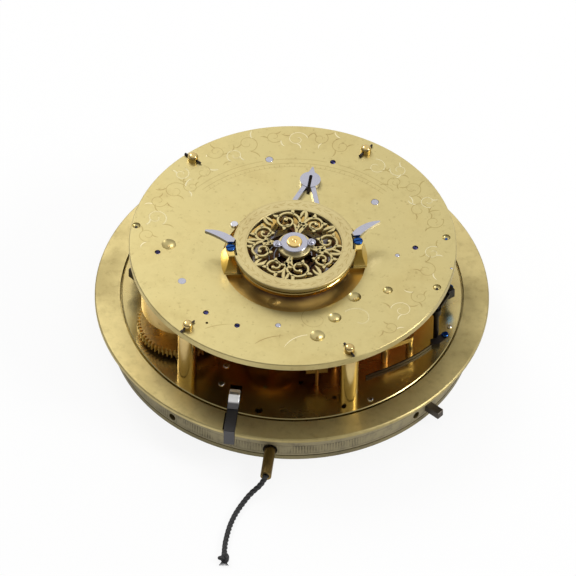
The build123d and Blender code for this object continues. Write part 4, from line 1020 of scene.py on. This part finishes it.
    def border(self) -> bpy.types.Object:
        """Engrave the cock's border.

        Returns:
            The engraving.
        """
        work = Flourish()
        middle = (self.outer + self.field_radius) / 2
        for step in range(self.border_leaves):
            angle = COCK_LINE + 360 * step / self.border_leaves
            side = 1 if step % 2 else -1
            root = polar(middle - side * 0.9, angle, BALANCE)
            work.leaf(root, angle + 90 - side * 50, 2.3 + 0.4 * math.sin(2.7 * step), side * 70, 0.26)
            work.leaf(polar(middle + side * 0.3, angle + 2, BALANCE), angle + 96, 1.5, side * 40, 0.2)
        screws = [polar(self.screw_reach, COCK_LINE + base, BALANCE) for base in (0, 180)]
        work.clear_of([(*screw, self.screw_room) for screw in screws], 0.2)
        forge = Forge("cock_border_engraving")
        for points, widths in work.strokes:
            forge.ribbon(points, widths, COCK_TOP + 0.006)
        for radius in (self.field_radius + 0.15, self.outer - 0.45):
            arc = [polar(radius, angle, BALANCE) for angle in range(0, 361, 3)]
            forge.ribbon(arc, self.border_line, COCK_TOP + 0.007)
        return forge.close(paint(CUT_LINE), "frame", "gilt_brass", False)


@dataclass
class PlateEngraving:
    """The scrolls and the regulation scale cut in the back plate."""

    level: float = BACK_TOP + 0.006
    cut: float = 0.2
    reach: float = 45.2
    sinks: tuple[str, ...] = ("alarm_second", "repeat_first", "repeat_second", "repeat_third", "fly")
    sink_room: float = 2.1
    scale_arcs: tuple[tuple[float, ...], ...] = (
        (36.6, 52, 141, 0.13), (38.2, 50, 143, 0.13), (35.3, 52, 141, 0.07),
    )
    scale_ticks: int = 37
    tick_root: float = 35.3
    tick_start: float = 55
    tick_turn: float = 2.3
    long_tick: float = 0.95
    short_tick: float = 0.5
    open_curls: tuple[tuple[Any, ...], ...] = (
        ((9.6, -27.0), 4.6, 118, 0.95, 1, 0.16, 0.1), ((21.5, -25.6), 4.8, 150, 0.7, -1, 0.16, 0.1),
    )
    lone_leaves: tuple[tuple[Any, ...], ...] = (
        ((-6.0, -38.4), 52, 9.0, -46, 0.34), ((-20.5, -34.6), 36, 7.5, -28, 0.26),
        ((2.2, -38.6), 76, 11.0, -80, 0.3),
    )
    loops: tuple[Place, ...] = (
        (40.6, 182, 2.6), (39.4, 172, 3.2), (40.9, 163, 2.6), (38.6, 155, 3.4), (41.0, 146, 2.4),
        (35.8, 149, 2.4), (37.2, 139, 2.8), (41.3, 128, 2.8), (37.6, 122, 2.6), (40.6, 115, 3.2),
        (41.6, 104, 2.4), (40.4, 95, 3.0), (41.4, 86, 2.4), (40.2, 77, 3.0), (38.0, 59, 3.2),
        (41.4, 51, 2.6), (37.4, 47, 2.2), (39.8, 40, 3.0), (41.4, 31, 2.4), (37.6, 28, 3.0),
        (40.4, 20, 2.8), (39.0, 3, 2.6), (38.2, -7, 3.0), (40.2, -22, 2.6), (38.8, -32, 3.2),
        (41.0, -42, 2.4),
    )
    spots: tuple[Place, ...] = (
        (42.7, 137.5, 3.4), (41.3, 67.1, 3.4), (42.9, -126.1, 3.4), (42.8, -61.8, 3.4),
        (37.7, -168.6, 1.1), (33.7, 77.3, 1.1), (34.1, 5.7, 1.1), (35.3, -126.3, 1.1), (34.3, -110.0, 1.1),
        (33.2, 108.1, 1.4), (28.3, 42.7, 1.4), (29.3, -0.3, 0.8), (45.0, -4.0, 0.5), (30.7, -90.9, 1.1),
        (31.3, -25.8, 1.5), (43.0, -14.5, 1.2), (42.9, 11.3, 1.2), (44.3, 177.6, 1.2), (33.8, -148.8, 1.2),
        (38.1, -122.0, 0.5),
    )

    def keep_clear(self, joints: Sequence[dict[str, Any]]) -> list[Place]:
        """Return the places that the cuts keep clear of.

        Args:
            joints: The frame's joints, whose arbors stand in sinks.

        Returns:
            Place and radius of each.
        """
        clear = [(*polar(radius, angle), size) for radius, angle, size in self.spots]
        for joint in joints:
            if joint["child"] in self.sinks:
                x, y = joint["pos_m"][:2]
                clear.append((x / MM, y / MM, self.sink_room))
        return clear

    def foliage(self) -> Flourish:
        """Return the scrolls round the plate's edge, with open curls and leaves near six o'clock."""
        work = Flourish()
        for order, (radius, angle, size) in enumerate(self.loops):
            hand = 1 if order % 2 else -1
            start = angle + 90 + 50 * order
            spiral = work.curl(polar(radius, angle), size, start, 1.2, hand, self.cut, self.cut * 0.6)
            work.spray(spiral, hand, (0.0, 0.3, 0.6), size * 1.15, self.cut * 1.7)
        for curl in self.open_curls:
            work.curl(*curl)
        for leaf in self.lone_leaves:
            work.leaf(*leaf)
        return work

    def scale(self) -> Flourish:
        """Return the regulation scale: two arcs about the balance, with ticks between."""
        work = Flourish()
        for radius, first, last, width in self.scale_arcs:
            arc = [polar(radius, first + (last - first) * step / 90, BALANCE) for step in range(91)]
            work.strokes.append((arc, [width] * len(arc)))
        for step in range(self.scale_ticks):
            reach = self.short_tick if step % 3 else self.long_tick
            angle = self.tick_start + self.tick_turn * step
            tick = [polar(self.tick_root + reach * part / 2, angle, BALANCE) for part in range(3)]
            work.strokes.append((tick, [0.16, 0.13, 0.1]))
        return work

    def build(self, joints: Sequence[dict[str, Any]]) -> list[bpy.types.Object]:
        """Cut the plate.

        Args:
            joints: The frame's joints.

        Returns:
            The engraved pieces.
        """
        clear = self.keep_clear(joints)
        foliage = self.foliage()
        foliage.clear_of(clear, 0.35)
        dark = Forge("plate_scroll_cuts")
        bright = Forge("plate_scroll_bright_cuts")
        for order, (points, widths) in enumerate(foliage.strokes):
            if max(math.hypot(*point) for point in points) <= self.reach:
                target = bright if order % 3 == 1 else dark
                target.ribbon(points, widths, self.level + 0.0004 * (order % 9))
        scale = self.scale()
        scale.clear_of(clear, 0.1)
        for points, widths in scale.strokes:
            dark.ribbon(points, widths, self.level + 0.004)
        return [
            dark.close(paint(CUT_LINE), "frame", "gilt_brass", False),
            bright.close(paint(BRIGHT_CUT), "frame", "gilt_brass", False),
        ]


@dataclass
class PullCord:
    """The black twisted cord, its knot and its route."""

    route: tuple[Place, ...] = (
        (0.0, -60.9, 3.8), (-0.6, -63.2, 3.2), (-3.6, -65.6, 1.4), (-5.4, -69.0, 0.8), (-6.9, -73.0, 0.8),
        (-7.9, -77.3, 0.8), (-8.3, -81.3, 0.8), (-8.5, -85.4, 0.8), (-8.2, -89.0, 0.8),
    )
    strand: float = 0.43
    offset: float = 0.37
    twist: float = 4.2
    strands: int = 3
    knot_size: float = 0.42
    knot_strand: float = 0.56
    tail_hairs: int = 7
    tail_hair: float = 0.12
    tail_level: float = 0.75

    def middle(self) -> list[Vector]:
        """Return points along the route's smooth spline, in millimetres."""
        curve = bpy.data.curves.new("cord route", "CURVE")
        curve.dimensions = "3D"
        curve.resolution_u = 24
        spline = curve.splines.new("NURBS")
        spline.points.add(len(self.route) - 1)
        for spot, place in zip(spline.points, self.route):
            spot.co = (*[value * MM for value in place], 1.0)
        spline.order_u = 3
        spline.use_endpoint_u = True
        mesh = traced(curve)
        points = [vertex.co / MM for vertex in mesh.vertices]
        bpy.data.meshes.remove(mesh)
        return points

    def knot_path(self, end: Vector, along: Vector) -> list[Vector]:
        """Return the path of the knot at the cord's end.

        Args:
            end: The cord's end.
            along: The way that the cord runs there.

        Returns:
            The knot's points.
        """
        across = Vector((-along.y, along.x, 0.0))
        middle = end + along * 1.25 + Vector((0.0, 0.0, 0.22))
        points = []
        for step in range(73):
            turn = 2 * math.pi * step / 72
            first = self.knot_size * (math.sin(turn) + 2 * math.sin(2 * turn))
            second = self.knot_size * (math.cos(turn) - 2 * math.cos(2 * turn))
            rise = -self.knot_size * math.sin(3 * turn)
            points.append(middle + along * first + across * second + Vector((0.0, 0.0, rise)))
        return points

    def build(self) -> bpy.types.Object:
        """Twist the cord and tie its knot.

        Returns:
            The cord.
        """
        middle = self.middle()
        forge = Forge("pull_cord_strands")
        for order in range(self.strands):
            path = []
            gone = 0.0
            for step, here in enumerate(middle):
                along = (middle[min(step + 1, len(middle) - 1)] - middle[max(step - 1, 0)]).normalized()
                side = Vector((-along.y, along.x, 0.0)).normalized()
                up = side.cross(along) * -1.0
                angle = 2 * math.pi * (gone / self.twist + order / self.strands)
                lean = side * (self.offset * math.cos(angle))
                path.append(here + lean + up * (self.offset * math.sin(angle)))
                if step + 1 < len(middle):
                    gone += (middle[step + 1] - here).length
            forge.tube(path, self.strand, 8)
        cord = forge.close(paint(Silk()), "pull_cord", "silk_cord")
        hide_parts("pull_cord")
        knot_forge = Forge("cord_end_knot")
        along = (middle[-1] - middle[-2]).normalized()
        knot_forge.tube(self.knot_path(middle[-1], along), self.knot_strand, 10)
        tail = middle[-1] + along * 2.2
        for step in range(self.tail_hairs):
            lean = Vector((-along.y, along.x, 0.0)) * (0.16 * (step - self.tail_hairs // 2))
            start = Vector((tail.x, tail.y, self.tail_level)) + lean
            end = start + along * 1.3 + lean * 1.6 - Vector((0, 0, 0.3))
            knot_forge.tube([start, start + along * 0.7 + lean * 0.6, end], self.tail_hair, 6)
        knot = knot_forge.close(paint(Silk()), "pull_cord", "silk_cord")
        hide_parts("cord_knot")
        return cord


@dataclass
class LatchBolt:
    """The latch bolt: its strip, its turned-down tail and a block that slopes to the rim."""

    middle: float = -11.2
    half: float = 1.5
    bevel: float = 0.14
    strip: tuple[Point, ...] = ((-39.4, 13.0), (-53.7, 13.0), (-53.7, 11.9), (-39.4, 11.9))
    tail: tuple[Point, ...] = ((-52.75, 12.9), (-53.84, 12.9), (-53.84, 7.7), (-52.75, 7.7))
    block: tuple[Point, ...] = (
        (-39.4, 12.95), (-39.4, 14.6), (-40.9, 15.2), (-41.9, 15.2), (-45.1, 13.5), (-45.6, 13.3),
        (-45.6, 12.95),
    )

    def prism(self, forge: Forge, section: Sequence[Point]) -> None:
        """Add a bar across the bolt, with a small bevel at its two ends.

        Args:
            forge: The piece's forge.
            section: The bar's section, as y and level pairs.
        """
        middle_y = sum(y for y, level in section) / len(section)
        middle_z = sum(level for y, level in section) / len(section)
        rows = []
        for way, inset in ((-1.0, self.bevel), (-1.0, 0.0), (1.0, 0.0), (1.0, self.bevel)):
            x = self.middle + way * (self.half - self.bevel + inset)
            row = []
            for y, level in section:
                shrink = 1.0 - inset / math.dist((y, level), (middle_y, middle_z))
                row.append((x, middle_y + (y - middle_y) * shrink, middle_z + (level - middle_z) * shrink))
            rows.append(row)
        forge.grid(rows, True)

    def build(self) -> bpy.types.Object:
        """Make the bolt.

        Returns:
            The bolt.
        """
        forge = Forge("latch_bolt_steel")
        for section in (self.strip, self.tail, self.block):
            self.prism(forge, section)
        # Its finish paints a highlight on the block's top and shade below it
        bolt = forge.close(paint(LIT_TOP_BOLT_STEEL), "latch_bolt", "polished_steel", False)
        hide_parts("latch_bolt")
        return bolt


@dataclass
class ShadeSheets:
    """Dark sheets of painted shade: round the cord tube, beside the bolt and in the regulator's slot."""

    tube_root: float = 2.05
    tube_level: float = 3.8
    bolt_line: Point = (-12.95, 0.42)
    bolt_span: Point = (-46.6, -53.2)
    slot_angle: float = 88.0
    slot_span: Point = (25.4, 31.2)
    slot_width: float = 0.86

    def build(self) -> list[bpy.types.Object]:
        """Make the sheets of painted shade.

        Returns:
            The dark pieces.
        """
        # Painted shade: near-black sheets stand in for the shade at the tube's root, beside the bolt and in
        # the regulator's slot
        dark = paint(SHADE_SHEET)
        root = Forge("tube_root_shade")
        path = [Vector((0.0, -WALL_RADIUS - reach, self.tube_level)) for reach in (-0.2, 0.06, 0.12)]
        root.tube(path, self.tube_root, 32)
        side = Forge("bolt_side_shade")
        line, width = self.bolt_line
        side.ribbon([(line, y) for y in self.bolt_span], width, FLANGE_TOP + 0.012)
        slot = Forge("regulator_slot_shade")
        ends = [polar(reach, self.slot_angle, BALANCE) for reach in self.slot_span]
        slot.ribbon(ends, self.slot_width, BACK_TOP + 0.5)
        return [
            root.close(dark, "frame", "rim_brass"),
            side.close(dark, "frame", "rim_brass", False),
            slot.close(dark, "regulator", "polished_steel", False),
        ]


@dataclass
class DialFace:
    """The figures and the minute track painted on the dial."""

    figures: tuple[str, ...] = ("XII", "I", "II", "III", "IIII", "V", "VI", "VII", "VIII", "IX", "X", "XI")
    figure_radius: float = 33.5
    figure_size: float = 8.4
    track_inner: float = 39.6
    track_outer: float = 41.4
    track_line: float = 0.16
    hour_tick: float = 0.5
    minute_tick: float = 0.18
    squeeze: float = 0.72

    def build(self) -> bpy.types.Object:
        """Paint the dial.

        Returns:
            The painted figures and track.
        """
        forge = Forge("dial_figures")
        level = DIAL_FACE - 0.01
        for radius in (self.track_inner, self.track_outer):
            ring = [polar(radius, angle) for angle in range(0, 361, 2)]
            forge.ribbon(ring, self.track_line, level)
        for minute in range(60):
            tick = [polar(radius, minute * 6) for radius in (self.track_inner, self.track_outer)]
            forge.ribbon(tick, self.minute_tick if minute % 5 else self.hour_tick, level)
        for hour, words in enumerate(self.figures):
            curve = bpy.data.curves.new("figure", "FONT")
            curve.body = words
            curve.size = self.figure_size
            curve.align_x = "CENTER"
            curve.align_y = "CENTER"
            mesh = traced(curve)
            turn = Matrix.Rotation(math.radians(hour * 30), 4, "Z")
            turn = turn @ Matrix.Translation((0, self.figure_radius, 0))
            turn = turn @ Matrix.Diagonal((-self.squeeze, 1.0, 1.0, 1.0))
            start = len(forge.points)
            for vertex in mesh.vertices:
                place = turn @ vertex.co
                forge.points.append((place.x, place.y, level - 0.002))
            forge.faces.extend(tuple(start + index for index in face.vertices) for face in mesh.polygons)
            LOG.info("painted figure %s", words)
            bpy.data.meshes.remove(mesh)
        return forge.close(paint(Ink()), "frame", "enamel", False)


@dataclass
class Studio:
    """The floor, the lights, the world and the camera."""

    azimuth: float = 6.0
    elevation: float = 47.2
    roll: float = 1.0
    distance: float = 6.0
    pixels_per_mm: float = 3.585
    image: int = 576
    sensor: float = 36.0
    centre_pixel: Point = (292.0, 294.5)
    aim_level: float = FLANGE_TOP
    floor_reach: float = 6.0
    floor_level: float = -0.0001
    room_lean: float = 0.55
    room_levels: tuple[Point, ...] = ((0.0, 0.20), (0.25, 0.28), (0.5, 0.55), (0.75, 0.84), (1.0, 0.92))
    lamps: tuple[tuple[str, Place, float, float], ...] = (
        ("back_left_lamp", (-0.45, 0.55, 0.75), 0.35, 3.6), ("right_lamp", (0.7, -0.1, 0.5), 0.25, 2.6),
    )

    def camera(self) -> None:
        """Place the camera at the photograph's angle and framing."""
        turn = math.radians(self.azimuth)
        lift = math.radians(self.elevation)
        back = Vector((math.cos(lift) * math.sin(turn), -math.cos(lift) * math.cos(turn), math.sin(lift)))
        right = Vector((math.cos(turn), math.sin(turn), 0.0))
        up = back.cross(right)
        half = self.image / 2
        shift = right * (half - self.centre_pixel[0]) - up * (half - self.centre_pixel[1])
        target = Vector((0.0, 0.0, self.aim_level * MM)) + shift * (MM / self.pixels_per_mm)
        lens = bpy.data.cameras.new("camera")
        lens.sensor_width = self.sensor
        lens.lens = self.pixels_per_mm * self.sensor * self.distance / MM / self.image
        lens.clip_start = 0.05
        lens.clip_end = 30.0
        camera = placed("camera", lens)
        camera.location = target + back * self.distance
        level_turn = (-back).to_track_quat("-Z", "Y")
        camera.rotation_euler = (level_turn @ Quaternion((0.0, 0.0, 1.0), math.radians(self.roll))).to_euler()
        bpy.context.scene.camera = camera

    def floor(self) -> None:
        """Lay the pale floor."""
        mesh = bpy.data.meshes.new("floor")
        reach = self.floor_reach
        corners = [(x * reach, y * reach, 0.0) for x, y in ((-1, -1), (1, -1), (1, 1), (-1, 1))]
        mesh.from_pydata(corners, [], [(0, 1, 2, 3)])
        floor = placed("floor", mesh)
        floor.location.z = self.floor_level
        bench = Bench(bpy.data.materials.new("pale floor"))
        paper = bench.noise(30.0, 2.0)
        shade = bench.mix(paper * 0.4, (0.86, 0.86, 0.86), (0.90, 0.90, 0.90))
        diffuse = bench.node("ShaderNodeBsdfDiffuse", {}, {"Color": shade})
        glow = bench.node("ShaderNodeEmission", {}, {"Color": WHITE, "Strength": 1.0})
        rays = bench.node("ShaderNodeLightPath", {}, {}).outputs
        seen = Signal(bench, rays["Is Camera Ray"]) * 0.88 + Signal(bench, rays["Is Glossy Ray"]) * 0.25
        mixed = bench.node("ShaderNodeMixShader", {}, {0: seen, 1: diffuse.outputs[0], 2: glow.outputs[0]})
        bench.node("ShaderNodeOutputMaterial", {}, {"Surface": mixed.outputs[0]})
        mesh.materials.append(bench.holder)

    def world(self) -> None:
        """Surround the object with a soft white room, darker low down in front."""
        world = bpy.data.worlds.new("room")
        bpy.context.scene.world = world
        bench = Bench(world)
        place = bench.node("ShaderNodeTexCoord", {}, {}).outputs["Generated"]
        axes = bench.node("ShaderNodeSeparateXYZ", {}, {0: place}).outputs
        height = {0: axes[1], 1: self.room_lean, 2: axes[2]}
        lean = bench.node("ShaderNodeMath", {"operation": "MULTIPLY_ADD"}, height)
        stops = [(spot, (level, level * 0.995, level * 0.98)) for spot, level in self.room_levels]
        ramp = bench.node("ShaderNodeValToRGB", {"stops": stops}, {0: lean.outputs[0]})
        room = bench.node("ShaderNodeBackground", {}, {"Color": ramp.outputs[0], "Strength": 1.0})
        white = bench.node("ShaderNodeBackground", {}, {"Color": WHITE})
        seen = bench.node("ShaderNodeLightPath", {}, {}).outputs["Is Camera Ray"]
        mixed = bench.node("ShaderNodeMixShader", {}, {0: seen, 1: room.outputs[0], 2: white.outputs[0]})
        bench.node("ShaderNodeOutputWorld", {}, {"Surface": mixed.outputs[0]})

    def lamp(self, name: str, place: Place, size: float, watts: float) -> None:
        """Hang a soft square lamp that looks at the movement.

        Args:
            name: The lamp's name.
            place: Where it hangs, in metres.
            size: Its side, in metres.
            watts: Its power.
        """
        light = bpy.data.lights.new(name, "AREA")
        light.size = size
        light.energy = watts
        lamp = placed(name, light)
        lamp.location = place
        lamp.rotation_euler = (-Vector(place)).to_track_quat("-Z", "Y").to_euler()

    def build(self) -> None:
        """Set the whole studio up."""
        self.camera()
        self.floor()
        self.world()
        for lamp in self.lamps:
            self.lamp(*lamp)
        bpy.context.scene.view_settings.view_transform = "Standard"


def main() -> None:
    """Load the frame, dress it and report each piece."""
    logging.basicConfig(level=logging.INFO, format="%(name)s: %(message)s")
    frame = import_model()
    Studio().build()
    PullCord().build()
    dress(frame["nodes"])
    cock = BalanceCock()
    cock.build()
    cock.feet()
    cock.border()
    PlateEngraving().build(frame["joints"])
    LatchBolt().build()
    ShadeSheets().build()
    DialFace().build()


if __name__ == "__main__":
    main()
